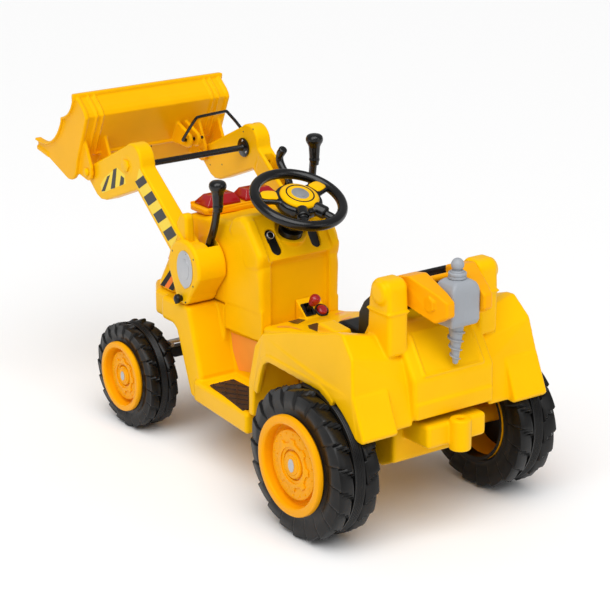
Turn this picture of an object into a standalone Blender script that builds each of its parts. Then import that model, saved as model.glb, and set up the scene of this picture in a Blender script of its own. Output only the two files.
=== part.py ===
"""Ride-on toy digger: an electric front loader with a rear drill, as separate closed solids.

Metres, +Z up. The nose points along -Y and the digger's left side is +X. Lengths along Y and
heights are given from the datum, the point on the ground under the rear axle.
"""

import math

import bmesh
import bpy
from mathutils import Matrix, Vector

# ---------------------------------------------------------------- driving dimensions
DATUM_Y = 0.4230            # the rear axle stands this far behind the middle of the footprint
GAP = 0.0004                # clearance between pieces that rest on each other

REAR_TYRE_R = 0.140
REAR_TYRE_X = (0.156, 0.250)
REAR_RIM_R = 0.092
REAR_RIM_FACE = 0.2605
FRONT_TYRE_R = 0.1072
FRONT_TYRE_X = (0.144, 0.212)
FRONT_RIM_R = 0.0706
FRONT_RIM_FACE = 0.2205
WHEELBASE = 0.635
AXLE_R = 0.005
LUGS = 16                   # tread blocks round each side of a tyre

HULL_X = 0.085              # half width of the central hull
HULL_FLOOR = 0.112
SEAM_Z = 0.240              # the upper shells stand on the hull here
FLOOR_Z = 0.150             # top of the footboards
WALL = 0.005

ARM_X = (0.1200, 0.1550)
ARM_PIVOT = (-0.476, 0.364)
ARM_ELBOW = (-0.6745, 0.5380)
BUCKET_PIVOT = (-0.8340, 0.4760)
CROSSBAR = (-0.687, 0.516)
TILT_X = -0.138
ROD_PIN = (-0.8060, 0.5165)
ROD_R = 0.0032
PIN_R = 0.004               # the bucket's pins and the tilt lever's
TILT_LEVER_PIVOT = (-0.560, 0.446)
LEVER_X = (0.1065, 0.1185)
HOUSING_X = (0.1005, 0.1670)

STEER_TILT = math.radians(21.5)
STEER_CENTRE = (-0.329, 0.506)
STEER_RING_R = 0.085
STEER_TUBE_R = 0.0098

KINGPIN_X = 0.118
AXLE_HOLDER_Z = (0.126, 0.146)

DRILL_PIVOT = (0.085, 0.459)
DRILL_AXIS_Y = 0.137
DRILL_TILT_Z = 0.436
POST_X = (0.079, 0.122)

COLLECTION = "ride_on_digger"


# ---------------------------------------------------------------- scene and materials
def clear_scene():
    for obj in list(bpy.data.objects):
        bpy.data.objects.remove(obj, do_unlink=True)


def make_collection(name):
    made = bpy.data.collections.new(name)
    bpy.context.scene.collection.children.link(made)
    return made


def make_material(name, colour, roughness, metallic=0.0):
    made = bpy.data.materials.new(name)
    made.use_nodes = True
    shader = made.node_tree.nodes["Principled BSDF"]
    shader.inputs["Base Color"].default_value = (*colour, 1.0)
    shader.inputs["Roughness"].default_value = roughness
    shader.inputs["Metallic"].default_value = metallic
    return made


clear_scene()
PARTS = make_collection(COLLECTION)
YELLOW = make_material("yellow_shell", (0.95, 0.52, 0.01), 0.35)
AMBER = make_material("amber_shell", (0.90, 0.38, 0.02), 0.38)
BLACK = make_material("black_plastic", (0.012, 0.012, 0.013), 0.35)
TREAD = make_material("tyre_black", (0.016, 0.016, 0.017), 0.5)
GREY = make_material("grey_plastic", (0.36, 0.39, 0.42), 0.4)
RED = make_material("red_lens", (0.55, 0.005, 0.008), 0.15)
ORANGE = make_material("orange_lens", (0.9, 0.16, 0.02), 0.2)
STEEL = make_material("axle_steel", (0.55, 0.55, 0.57), 0.3, 1.0)
BROWN = make_material("brown_mat", (0.05, 0.018, 0.008), 0.6)

DATUM = bpy.data.objects.new("datum", None)
DATUM.location = (0.0, DATUM_Y, 0.0)
PARTS.objects.link(DATUM)


# ---------------------------------------------------------------- building tools
def object_from(bm, name="tool"):
    """A mesh object in the datum's frame, facing out."""
    bmesh.ops.recalc_face_normals(bm, faces=bm.faces)
    if bm.calc_volume(signed=True) < 0:
        bmesh.ops.reverse_faces(bm, faces=bm.faces)
    mesh = bpy.data.meshes.new(name)
    bm.to_mesh(mesh)
    bm.free()
    made = bpy.data.objects.new(name, mesh)
    PARTS.objects.link(made)
    return made


def block(x, y, z):
    """A box between the pairs of limits x, y and z."""
    bm = bmesh.new()
    bmesh.ops.create_cube(bm, size=1.0)
    size = Vector((x[1] - x[0], y[1] - y[0], z[1] - z[0]))
    centre = Vector((x[0] + x[1], y[0] + y[1], z[0] + z[1])) / 2
    for vertex in bm.verts:
        vertex.co = Vector(a * b for a, b in zip(vertex.co, size)) + centre
    return object_from(bm)


def cylinder(start, end, radius, sides=16, end_radius=None):
    """A cylinder or a cone frustum from start to end."""
    start = Vector(start)
    line = Vector(end) - start
    bm = bmesh.new()
    bmesh.ops.create_cone(bm, cap_ends=True, segments=sides, depth=line.length,
                          radius1=radius, radius2=radius if end_radius is None else end_radius)
    turn = Vector((0, 0, 1)).rotation_difference(line).to_matrix().to_4x4()
    bm.transform(Matrix.Translation(start + line / 2) @ turn)
    return object_from(bm)


def evaluated(obj, name):
    """The object with its modifiers applied, or a curve as a welded mesh, in place of the first."""
    bpy.context.view_layer.update()
    graph = bpy.context.evaluated_depsgraph_get()
    mesh = bpy.data.meshes.new_from_object(obj.evaluated_get(graph))
    bm = bmesh.new()
    bm.from_mesh(mesh)
    bm.transform(obj.matrix_world)
    if obj.type == "CURVE":
        bmesh.ops.remove_doubles(bm, verts=bm.verts, dist=1e-6)
    bpy.data.objects.remove(obj, do_unlink=True)
    return object_from(bm, name)


def plate(outline, limits, axis="X"):
    """A flat outline thickened between two limits: (Y, Z) points along X, or (X, Y) points along Z."""
    curve = bpy.data.curves.new("outline", "CURVE")
    curve.dimensions = "2D"
    curve.fill_mode = "BOTH"
    curve.extrude = (limits[1] - limits[0]) / 2
    spline = curve.splines.new("POLY")
    spline.points.add(len(outline) - 1)
    for point, (a, b) in zip(spline.points, outline):
        point.co = (a, b, 0.0, 1.0)
    spline.use_cyclic_u = True
    made = bpy.data.objects.new("outline", curve)
    PARTS.objects.link(made)
    middle = (limits[0] + limits[1]) / 2
    if axis == "X":
        turn = Matrix(((0, 0, 1, 0), (1, 0, 0, 0), (0, 1, 0, 0), (0, 0, 0, 1)))
        made.matrix_world = Matrix.Translation((middle, 0, 0)) @ turn
    else:
        made.matrix_world = Matrix.Translation((0, 0, middle))
    return evaluated(made, "plate")


def turned(profile, origin, axis="X", sides=24):
    """A profile of (radius, height) points, top to bottom, turned about an axis through origin."""
    bm = bmesh.new()
    points = [bm.verts.new((radius, 0.0, height)) for radius, height in profile]
    for first, second in zip(points, points[1:]):
        bm.edges.new((first, second))
    made = object_from(bm)
    screw = made.modifiers.new("turn", "SCREW")
    screw.steps = sides
    screw.render_steps = sides
    screw.use_merge_vertices = True
    screw.merge_threshold = 0.00001
    made.location = origin
    if axis == "X":
        made.rotation_euler = (0, math.pi / 2, 0)
    elif axis == "-X":
        made.rotation_euler = (0, -math.pi / 2, 0)
    elif isinstance(axis, Vector):
        made.rotation_mode = "QUATERNION"
        made.rotation_quaternion = Vector((0, 0, 1)).rotation_difference(axis)
    return evaluated(made, "turned")


def tube(points, radius, resolution=2):
    """A bent rod or tube with closed ends through the points."""
    curve = bpy.data.curves.new("rod", "CURVE")
    curve.dimensions = "3D"
    curve.bevel_depth = radius
    curve.bevel_resolution = resolution
    curve.use_fill_caps = True
    spline = curve.splines.new("POLY")
    spline.points.add(len(points) - 1)
    for point, place in zip(spline.points, points):
        point.co = (*place, 1.0)
    made = bpy.data.objects.new("rod", curve)
    PARTS.objects.link(made)
    return evaluated(made, "rod")


def loft(rings):
    """A solid through closed rings that have the same number of points."""
    bm = bmesh.new()
    rows = [[bm.verts.new(place) for place in ring] for ring in rings]
    for row, following in zip(rows, rows[1:]):
        for i in range(len(row)):
            j = (i + 1) % len(row)
            bm.faces.new((row[i], row[j], following[j], following[i]))
    bm.faces.new(reversed(rows[0]))
    bm.faces.new(rows[-1])
    return object_from(bm, "loft")


def combine(target, tool, operation):
    """The Boolean of two objects, in place of both."""
    modifier = target.modifiers.new("shape", "BOOLEAN")
    modifier.operation = operation
    modifier.solver = "MANIFOLD"
    modifier.object = tool
    made = evaluated(target, target.name)
    bpy.data.objects.remove(tool, do_unlink=True)
    return made


def join(target, *others):
    for other in others:
        target = combine(target, other, "UNION")
    return target


def cut(target, *others):
    for other in others:
        target = combine(target, other, "DIFFERENCE")
    return target


def soften(obj, width, angle=30.0):
    """Chamfers the edges that are sharper than the angle."""
    bevel = obj.modifiers.new("chamfer", "BEVEL")
    bevel.width = width
    bevel.segments = 1
    bevel.limit_method = "ANGLE"
    bevel.angle_limit = math.radians(angle)
    bevel.use_clamp_overlap = True
    return evaluated(obj, obj.name)


def mirrored(obj):
    """The same shape on the other side of the X = 0 plane."""
    bm = bmesh.new()
    bm.from_mesh(obj.data)
    bm.transform(Matrix.Scale(-1.0, 4, (1, 0, 0)))
    return object_from(bm)


def sided(obj, side):
    """The shape itself on the left, side 1, or its mirror image on the right, side -1."""
    if side > 0:
        return obj
    made = mirrored(obj)
    bpy.data.objects.remove(obj, do_unlink=True)
    return made


def finish(obj, name, material, axis_point=(0.0, 0.0, 0.0)):
    """Names a node, gives it its material, and puts its origin on its joint's axis."""
    shift = Vector(axis_point)
    obj.data.transform(Matrix.Translation(-shift))
    obj.name = name
    obj.data.name = name
    obj.data.materials.clear()
    obj.data.materials.append(material)
    obj.data.shade_smooth()
    obj.data.set_sharp_from_angle(angle=math.radians(35))
    obj.parent = DATUM
    obj.location = shift
    return obj


def arc(centre, radius, start, end, steps):
    """Points on an arc from start to end, in degrees."""
    points = []
    for i in range(steps + 1):
        angle = math.radians(start + (end - start) * i / steps)
        points.append((centre[0] + radius * math.cos(angle), centre[1] + radius * math.sin(angle)))
    return points


def on_side(point, x):
    return Vector((x, point[0], point[1]))


SIDES = (("left", 1), ("right", -1))


# ---------------------------------------------------------------- wheels
def tyre(radius, bead_radius, x, depth):
    """A chunky tyre: two rows of blocks, half a pitch apart, either side of a middle band."""
    inner, outer = x
    width = outer - inner
    middle = (inner + outer) / 2
    band = 0.13 * width
    floor = radius - depth
    rings = [  # (X, radius on a block, radius between blocks, half pitches that the row is turned)
        (inner + 0.10 * width, bead_radius, bead_radius, 0),
        (inner, bead_radius + 0.006, bead_radius + 0.006, 0),
        (inner, radius - 1.35 * depth, radius - 1.35 * depth, 0),
        (inner + 0.09 * width, radius - 0.2 * depth, floor, 0),
        (middle - band, radius, floor, 1),
        (middle - band, floor, floor, 1),
        (middle + band, floor, floor, 1),
        (middle + band, radius, floor, 1),
        (outer - 0.09 * width, radius - 0.2 * depth, floor, 2),
        (outer, radius - 1.35 * depth, radius - 1.35 * depth, 2),
        (outer, bead_radius + 0.006, bead_radius + 0.006, 2),
        (outer - 0.10 * width, bead_radius, bead_radius, 2),
    ]
    pitch = 2 * math.pi / LUGS
    rows = []
    bm = bmesh.new()
    for place, high, low, turn in rings:
        row = []
        for i in range(2 * LUGS):
            angle = (i + 0.5 * (turn - 1)) * pitch / 2 - math.pi / 2
            reach = high if i % 2 == 0 else low
            row.append(bm.verts.new((place, reach * math.cos(angle), reach * math.sin(angle))))
        rows.append(row)
    for row, following in zip(rows, rows[1:] + rows[:1]):
        for i in range(2 * LUGS):
            j = (i + 1) % (2 * LUGS)
            bm.faces.new((row[i], following[i], following[j], row[j]))
    return object_from(bm, "tyre")


def rim_profile(radius, face, seat, inner, bore):
    """A dished wheel: bore, hub, disc, channel and outer flange, as (radius, X)."""
    return [
        (bore, face - 0.018),
        (0.30 * radius, face - 0.018),
        (0.32 * radius, face - 0.012),
        (0.62 * radius, face - 0.012),
        (0.66 * radius, face - 0.020),
        (0.80 * radius, face - 0.020),
        (0.86 * radius, face),
        (radius, face),
        (radius, seat),
        (0.93 * radius, seat),
        (0.93 * radius, inner),
        (0.87 * radius, inner),
        (0.82 * radius, face - 0.030),
        (0.24 * radius, face - 0.030),
        (0.20 * radius, inner - 0.004),
        (bore, inner - 0.004),
        (bore, face - 0.018),
    ]


def cap_profile(radius, base):
    return [(0.0, base + 0.0075), (0.6 * radius, base + 0.0072), (0.9 * radius, base + 0.0062),
            (radius, base + 0.0050), (radius, base), (0.0, base)]


def make_wheel(name, side, y, radius, x, rim_radius, face):
    centre = (0.0, y, radius)
    lift = Matrix.Translation(centre)
    body = tyre(radius, 0.93 * rim_radius + 2 * GAP, x, 0.10 * radius)
    body.data.transform(lift)
    finish(sided(body, side), "tyre_" + name, TREAD, (side * x[0], y, radius))
    rim = turned(rim_profile(rim_radius, face, x[1] + GAP, x[0] + 0.002, AXLE_R + GAP), centre, "X", 16)
    finish(sided(rim, side), "rim_" + name, AMBER, (side * x[0], y, radius))
    hub = turned(cap_profile(0.27 * rim_radius, face - 0.018 + GAP), centre, "X", 12)
    finish(sided(hub, side), "hub_cap_" + name, AMBER, (side * x[0], y, radius))


def make_wheels():
    for name, side in SIDES:
        make_wheel("rear_" + name, side, 0.0, REAR_TYRE_R, REAR_TYRE_X, REAR_RIM_R, REAR_RIM_FACE)
        make_wheel("front_" + name, side, -WHEELBASE, FRONT_TYRE_R, FRONT_TYRE_X,
                   FRONT_RIM_R, FRONT_RIM_FACE)


# ---------------------------------------------------------------- hull
def footboard(side):
    outline = [(0.060, -0.437), (0.174, -0.437), (0.193, -0.226), (0.060, -0.226)]
    return soften(sided(plate(outline, (0.108, FLOOR_Z), "Z"), side), 0.005)


def leg_shield(side):
    """The upright board between the front wheel and the rider's foot."""
    outline = [(-0.459, 0.108), (-0.420, 0.108), (-0.420, 0.160), (-0.462, 0.288),
               (-0.560, 0.288), (-0.560, 0.240), (-0.507, 0.232)]
    return soften(sided(plate(outline, (0.060, 0.166), "X"), side), 0.006)


def nose():
    half = [(0.0, -0.660), (0.118, -0.655), (0.152, -0.600), (0.157, -0.480), (0.0, -0.480)]
    outline = half + [(-x, y) for x, y in reversed(half[1:-1])]
    return soften(plate(outline, (0.236, 0.288), "Z"), 0.006)


def hull_tub():
    outline = [(-0.437, HULL_FLOOR), (0.040, HULL_FLOOR), (0.075, 0.128), (0.075, SEAM_Z - GAP),
               (-0.437, SEAM_Z - GAP)]
    return soften(plate(outline, (-HULL_X, HULL_X), "X"), 0.006)


def tow_hitch():
    block_part = soften(block((-0.066, 0.066), (0.060, 0.148), (0.172, 0.216)), 0.004)
    boss = cylinder((0, 0.155, 0.163), (0, 0.155, 0.221), 0.020, 16)
    return cut(join(block_part, boss), cylinder((0, 0.155, 0.1), (0, 0.155, 0.3), 0.006, 12))


def make_lower_body():
    body = hull_tub()
    for _, side in SIDES:
        web = block((0.0605, 0.0990), (-0.4630, -0.4372), (0.200, 0.2875))
        body = join(body, footboard(side), leg_shield(side), sided(web, side))
    body = join(body, nose(), tow_hitch())
    body = join(body, block((-0.030, 0.030), (-0.655, -0.616), (AXLE_HOLDER_Z[1] + GAP, 0.250)))
    body = cut(body, block((-HULL_X + WALL, HULL_X - WALL), (-0.432, 0.070), (HULL_FLOOR + WALL, 0.3)))
    for _, side in SIDES:
        under_board = block((0.090, 0.168), (-0.414, -0.232), (0.09, FLOOR_Z - WALL))
        body = cut(body, sided(under_board, side))
        shield_hollow = plate([(-0.470, 0.125), (-0.428, 0.09), (-0.428, 0.165), (-0.466, 0.276),
                               (-0.550, 0.276), (-0.550, 0.20), (-0.515, 0.227)], (0.090, 0.158), "X")
        body = cut(body, sided(shield_hollow, side))
    nose_hollow = plate([(-0.110, -0.612), (0.110, -0.612), (0.146, -0.594), (0.150, -0.490),
                         (-0.150, -0.490), (-0.146, -0.594)], (0.20, 0.282), "Z")
    body = cut(body, nose_hollow, block((-0.050, 0.050), (-0.600, -0.445), (0.20, 0.32)))
    axle_hole = cylinder((-0.2, 0, REAR_TYRE_R), (0.2, 0, REAR_TYRE_R), AXLE_R + 0.0006, 16)
    shaft_hole = cylinder(along_column(-0.340), along_column(-0.250), 0.0070, 16)
    finish(cut(body, axle_hole, shaft_hole), "lower_body", YELLOW)


def make_floor_mats():
    for name, side in SIDES:
        outline = [(0.108, -0.394), (0.163, -0.394), (0.187, -0.246), (0.108, -0.246)]
        mat = soften(sided(plate(outline, (FLOOR_Z + GAP, FLOOR_Z + 0.0035), "Z"), side), 0.006, 60)
        finish(mat, "foot_mat_" + name, BROWN)


# ---------------------------------------------------------------- front shell
def hood_ring(y, base_half, waist_half, top_half, base, waist, top):
    half = [(0.0, base), (base_half, base), (waist_half, waist), (top_half, top), (0.0, top + 0.003)]
    return [(x, y, z) for x, z in half] + [(-x, y, z) for x, z in reversed(half[1:-1])]


def hood():
    rings = [
        hood_ring(-0.645, 0.108, 0.100, 0.086, 0.2885, 0.310, 0.325),
        hood_ring(-0.612, 0.140, 0.1160, 0.092, 0.2885, 0.3340, 0.385),
        hood_ring(-0.585, 0.146, 0.1165, 0.094, 0.2885, 0.3360, 0.432),
        hood_ring(-0.552, 0.146, 0.1130, 0.092, 0.2885, 0.3360, 0.443),
        hood_ring(-0.536, 0.0998, 0.0998, 0.092, 0.2885, 0.385, 0.443),
        hood_ring(-0.430, 0.0998, 0.0990, 0.090, 0.2885, 0.400, 0.455),
        hood_ring(-0.380, 0.0950, 0.0955, 0.090, 0.2885, 0.430, 0.472),
        hood_ring(-0.3225, 0.0910, 0.0930, 0.0900, 0.2885, 0.360, 0.385),
    ]
    return loft(rings)


def lower_cowl():
    """The part of the front shell between the hood and the seam with the hull."""
    half = [(0.0, -0.4365), (0.0985, -0.4365), (0.0945, -0.3800), (0.0905, -0.3225), (0.0, -0.3225)]
    outline = half + [(-x, y) for x, y in reversed(half[1:-1])]
    return plate(outline, (SEAM_Z + GAP, 0.302), "Z")


def dash_head():
    outline = [(-0.430, 0.440), (-0.415, 0.466), (-0.385, 0.477), (-0.366, 0.468), (-0.320, 0.408),
               (-0.326, 0.380), (-0.370, 0.370)]
    return soften(plate(outline, (-0.0955, 0.0955), "X"), 0.012)


def dash_recess():
    """The sunk panel that holds the two slots."""
    outline = [(-0.377, 0.470), (-0.314, 0.387), (-0.290, 0.40), (-0.350, 0.51)]
    return plate(outline, (-0.074, 0.074), "X")


def knee_recess():
    return plate([(-0.3320, 0.255), (-0.3320, 0.385), (-0.3210, 0.401), (-0.28, 0.401), (-0.28, 0.255)],
                 (-0.067, 0.067), "X")


def steer_axis():
    return Vector((0.0, math.sin(STEER_TILT), math.cos(STEER_TILT)))


def along_column(distance):
    """A point on the steering column, measured up from the middle of the steering wheel."""
    return on_side(STEER_CENTRE, 0.0) + distance * steer_axis()


def column_cone():
    return cylinder(along_column(-0.150), along_column(-0.0776), 0.022, 20, 0.031)


def slot_frame(side):
    """A dash slot's lower and upper end, its two directions in the panel and the way out of it."""
    low = Vector((0.0455 * side, -0.3375, 0.4132))
    high = Vector((0.048 * side, -0.356, 0.4380))
    out = Vector((0, 0.80, 0.60))
    run = (high - low).normalized()
    return low, high, run, run.cross(out).normalized(), out


def slot_shape(side, radius, inner, outer):
    """A long block with round ends in a dash slot, from inner to outer beyond the panel."""
    low, high, run, across, out = slot_frame(side)
    outline = []
    for centre, start in ((low, 180.0), (high, 0.0)):
        for a, b in arc((0, 0), radius, start, start + 180.0, 6):
            outline.append(centre + across * a + run * b)
    return loft([[point + out * away for point in outline] for away in (inner, outer)])


def hood_hollow():
    rings = [
        hood_ring(-0.606, 0.128, 0.104, 0.078, 0.20, 0.322, 0.368),
        hood_ring(-0.582, 0.134, 0.106, 0.084, 0.20, 0.326, 0.424),
        hood_ring(-0.556, 0.134, 0.103, 0.084, 0.20, 0.326, 0.436),
        hood_ring(-0.541, 0.092, 0.092, 0.084, 0.20, 0.380, 0.436),
        hood_ring(-0.430, 0.092, 0.091, 0.080, 0.20, 0.390, 0.447),
        hood_ring(-0.386, 0.086, 0.084, 0.066, 0.20, 0.380, 0.440),
        hood_ring(-0.352, 0.082, 0.078, 0.060, 0.20, 0.330, 0.366),
    ]
    return loft(rings)


def marker_block(side, grow, inner, outer):
    """A reflector on the hood, or its pocket; inner and outer are measured from the slope there."""
    front, rear = -0.612 - grow, -0.588 + grow
    low, high = 0.340 - grow, 0.372 + grow
    slope = ((front, low, 0.1132), (rear, low, 0.1160), (rear, high, 0.1075), (front, high, 0.0981))
    rings = [[(x + out, y, z) for y, z, x in slope] for out in (inner, outer)]
    return sided(loft(rings), side)


def make_front_body():
    body = soften(hood(), 0.008, 20)
    body = join(body, dash_head())
    tray_seat = block((-0.0940, 0.0940), (-0.5735, -0.4965), (0.4471, 0.4700))
    body = cut(body, dash_recess(), tray_seat)
    body = join(body, column_cone())
    body = join(cut(body, hood_hollow()), lower_cowl())
    cowl_hollow = block((-0.083, 0.083), (-0.4315, -0.350), (0.2, 0.31))
    body = cut(body, knee_recess(), cowl_hollow)
    for _, side in SIDES:
        body = cut(body, slot_shape(side, 0.0105, -0.006, 0.012))
        body = cut(body, marker_block(side, 0.0005, -0.0035, 0.0300))
    well = cylinder(along_column(-0.0776), along_column(-0.020), 0.0320, 20)
    body = cut(body, well, cylinder(along_column(-0.300), along_column(-0.03), 0.0070, 16))
    pivot_hole = cylinder(on_side(ARM_PIVOT, -0.2), on_side(ARM_PIVOT, 0.2), AXLE_R + 0.0006, 16)
    finish(cut(body, pivot_hole), "front_body", YELLOW)


def make_dash_plates():
    for name, side in SIDES:
        made = slot_shape(side, 0.0100, -0.0045, -0.0015)
        if name == "left":
            _, high, run, _, out = slot_frame(side)
            base = high - run * 0.001
            made = cut(made, cylinder(base - out * 0.0080, base + out * 0.0080, 0.0078, 20))
            button = cylinder(base - out * 0.0030, base + out * 0.0035, 0.0074, 20)
            finish(soften(button, 0.001), "start_button", BLACK, base)
        finish(made, "dash_plate_" + name, BLACK)


def make_light_tray():
    half = [(0.0, -0.572), (0.086, -0.570), (0.092, -0.562), (0.092, -0.512), (0.080, -0.502),
            (0.0, -0.498)]
    outline = half + [(-x, y) for x, y in reversed(half[1:-1])]
    tray = soften(plate(outline, (0.4475, 0.4590), "Z"), 0.003)
    finish(tray, "light_tray", AMBER)
    for name, side in SIDES:
        low = [(0.006, -0.562), (0.082, -0.562), (0.082, -0.514), (0.006, -0.514)]
        high = [(0.014, -0.552), (0.068, -0.552), (0.068, -0.524), (0.014, -0.524)]
        base = 0.4590 + GAP
        lens = loft([[(x, y, base) for x, y in low], [(x, y, base + 0.004) for x, y in low],
                     [(x, y, base + 0.020) for x, y in high]])
        finish(soften(sided(lens, side), 0.002), "beacon_lens_" + name, RED)


def make_side_markers():
    for name, side in SIDES:
        marker = marker_block(side, 0.0, -0.0030, 0.0020)
        finish(soften(marker, 0.0008), "side_marker_" + name, ORANGE)


# ---------------------------------------------------------------- loader pivots
def teardrop(grow=0.0):
    """The outline of the arm housing: a large circle with a small one hung below it."""
    top = arc(ARM_PIVOT, 0.055 + grow, -14.0, 194.0, 12)
    low = arc((ARM_PIVOT[0] - 0.006, 0.3170), 0.0280 + grow, 194.0, 346.0, 5)
    return top + low


def make_pivot_housings():
    for name, side in SIDES:
        shell = soften(plate(teardrop(), HOUSING_X, "X"), 0.006)
        room = arc(ARM_PIVOT, 0.0475, 222.0, 410.0, 13) + arc(ARM_PIVOT, 0.085, 58.0, 214.0, 5)
        shell = cut(shell, plate(room, (0.1050, 0.1565), "X"))
        hole = cylinder(on_side(ARM_PIVOT, 0.09), on_side(ARM_PIVOT, 0.1100), AXLE_R + 0.0006, 16)
        knob_hole = cylinder((0.150, -0.484, 0.302), (0.18, -0.484, 0.302), 0.0043, 12)
        finish(sided(cut(shell, hole, knob_hole), side), "pivot_housing_" + name, YELLOW)
        knob = turned([(0.0, 0.181), (0.007, 0.180), (0.0085, 0.176), (0.007, 0.1675),
                       (0.004, 0.1673), (0.004, 0.158), (0.0, 0.158)], (0, -0.484, 0.302), "X", 12)
        finish(sided(knob, side), "lock_knob_" + name, BLACK)
    shaft = cylinder(on_side(ARM_PIVOT, -0.1560), on_side(ARM_PIVOT, 0.1560), AXLE_R, 16)
    finish(shaft, "arm_pivot_shaft", STEEL, on_side(ARM_PIVOT, 0.0))


# ---------------------------------------------------------------- loader
def arm_outline():
    elbow = arc(ARM_ELBOW, 0.028, 130.0, 52.0, 5)
    return elbow + [
        (-0.647, 0.5280), (-0.508, 0.424), (-0.452, 0.384), (-0.440, 0.364), (-0.452, 0.336),
        (-0.476, 0.322), (-0.500, 0.336), (-0.535, 0.376), (-0.659, 0.476),
        (-0.780, 0.4275), (-0.800, 0.4255), (-0.815, 0.4310), (-0.848, 0.4580),
    ] + arc(BUCKET_PIVOT, 0.0140, 230.0, 90.0, 5)


def make_arms():
    for name, side in SIDES:
        arm = soften(plate(arm_outline(), (ARM_X[0] + 0.0003, ARM_X[1] - 0.0003), "X"), 0.006, 40)
        root = cylinder(on_side(ARM_PIVOT, ARM_X[0]), on_side(ARM_PIVOT, ARM_X[1]), 0.044, 20)
        arm = join(arm, root)
        if side < 0:
            slot = plate([(-0.790, 0.520), (-0.735, 0.492), (-0.705, 0.483), (-0.674, 0.483),
                          (-0.560, 0.415), (-0.505, 0.437), (-0.560, 0.500), (-0.640, 0.600),
                          (-0.720, 0.600)], (0.1290, 0.1460), "X")
            lever_hole = cylinder((0.1250, *TILT_LEVER_PIVOT), (0.1500, *TILT_LEVER_PIVOT),
                                  PIN_R + GAP, 12)
            arm = cut(arm, slot, lever_hole)
        for place, radius in ((ARM_PIVOT, AXLE_R), (BUCKET_PIVOT, PIN_R)):
            hole = cylinder(on_side(place, 0.10), on_side(place, 0.17), radius + GAP, 16)
            arm = cut(arm, hole)
        finish(sided(arm, side), "arm_" + name, YELLOW, on_side(ARM_PIVOT, side * ARM_X[0]))
    bar = [(0.0, 0.1196), (0.0195, 0.1196), (0.0195, 0.1160), (0.008, 0.1145), (0.0052, 0.110),
           (0.0052, -0.110), (0.008, -0.1145), (0.0195, -0.1160), (0.0195, -0.1196), (0.0, -0.1196)]
    crossbar = turned(bar, on_side(CROSSBAR, 0.0), "X", 16)
    finish(crossbar, "crossbar", BLACK, on_side(ARM_PIVOT, 0.0))


def make_lift_levers():
    """Pull levers beside the seat: a flat foot round the pivot, a bent bar and a round grip."""
    middle = (LEVER_X[0] + LEVER_X[1]) / 2
    for name, side in SIDES:
        lift = 0.0 if side > 0 else 0.058
        foot = cylinder(on_side(ARM_PIVOT, LEVER_X[0]), on_side(ARM_PIVOT, LEVER_X[1]), 0.030, 20)
        path = [(ARM_PIVOT[0], ARM_PIVOT[1]), (-0.468, 0.400), (-0.443, 0.445 + lift / 2),
                (-0.436, 0.480 + lift), (-0.4335, 0.515 + lift)]
        sizes = (0.0090, 0.0085, 0.0080, 0.0085, 0.0100)
        rings = []
        for (y, z), size in zip(path, sizes):
            ring = []
            for a, b in arc((0, 0), 1.0, 22.5, 337.5, 7):
                ring.append((middle + 0.0058 * a, y + size * b, z - 0.25 * size * b))
            rings.append(ring)
        bar = loft(rings)
        grip = turned([(0.0, 0.026), (0.010, 0.024), (0.0145, 0.018), (0.0150, 0.010), (0.0115, 0.0),
                       (0.0100, -0.020), (0.0085, -0.036), (0.0, -0.036)],
                      (middle, -0.4335, 0.512 + lift), "Z", 14)
        lever = join(foot, bar, grip)
        shaft_hole = cylinder(on_side(ARM_PIVOT, 0.09), on_side(ARM_PIVOT, 0.13), AXLE_R + GAP, 16)
        lever = cut(lever, shaft_hole)
        finish(sided(lever, side), "lift_lever_" + name, BLACK, on_side(ARM_PIVOT, side * middle))


# ---------------------------------------------------------------- bucket
BUCKET_LIP = (-0.8575, 0.6290)
BUCKET_FOLD = ((-0.8270, 0.6040), (-0.8195, 0.5915))    # the bend under the lip takes two steps
BUCKET_HEEL = (-0.8610, 0.5030)
BUCKET_SOLE = (-0.8850, 0.4600)
BUCKET_EDGE = (-1.018, 0.4930)


def offset_open(points, distance):
    """The open outline moved sideways by the distance, with mitred corners."""
    moved = []
    for i, point in enumerate(points):
        here = Vector(point)
        normals = []
        if i > 0:
            along = (here - Vector(points[i - 1])).normalized()
            normals.append(Vector((-along.y, along.x)))
        if i < len(points) - 1:
            along = (Vector(points[i + 1]) - here).normalized()
            normals.append(Vector((-along.y, along.x)))
        normal = sum(normals, Vector((0, 0))).normalized()
        moved.append(tuple(here + normal * distance / normal.dot(normals[0])))
    return moved


def scallop(start, end, sag, steps):
    """A concave curve between two points, sagging to the right of the way from start to end."""
    start = Vector(start)
    end = Vector(end)
    across = (end - start).normalized()
    across = Vector((across.y, -across.x))
    points = []
    for i in range(1, steps):
        share = i / steps
        points.append(tuple(start.lerp(end, share) + across * sag * 4 * share * (1 - share)))
    return points


def bucket_cheek():
    """The side of the bucket, with its two scallops."""
    nib_high = (-0.9095, 0.5775)
    nib_low = (-0.9110, 0.5680)
    top = (-0.8575, 0.6335)
    tip = (-1.0200, 0.5130)
    outline = [(-0.8380, 0.6165), (-0.8235, 0.6035), (-0.8165, 0.5920), (-0.8560, 0.4990),
               (-0.8620, 0.4760), (-0.8740, 0.4570), (-0.8980, 0.4490), (-0.9950, 0.4850),
               (-1.0200, 0.4890), tip]
    outline += scallop(tip, nib_low, 0.024, 6) + [nib_low, nib_high]
    outline += scallop(nib_high, top, 0.013, 5) + [top]
    return outline


def bucket_ears():
    """A plate that carries the pivot; its front edge lies inside the bucket's wall."""
    ear = [(-0.8450, 0.5480), (-0.8165, 0.4880)] + arc(BUCKET_PIVOT, 0.0175, 20.0, -110.0, 6)
    return ear + [(-0.8835, 0.4680), (-0.8645, 0.5010)]


def rod_ear():
    """A pointed plate that carries the tilt rod's pin behind the bucket."""
    return [(-0.8440, 0.5500)] + arc(ROD_PIN, 0.0165, 60.0, -110.0, 7) + [(-0.8640, 0.5020)]


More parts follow.
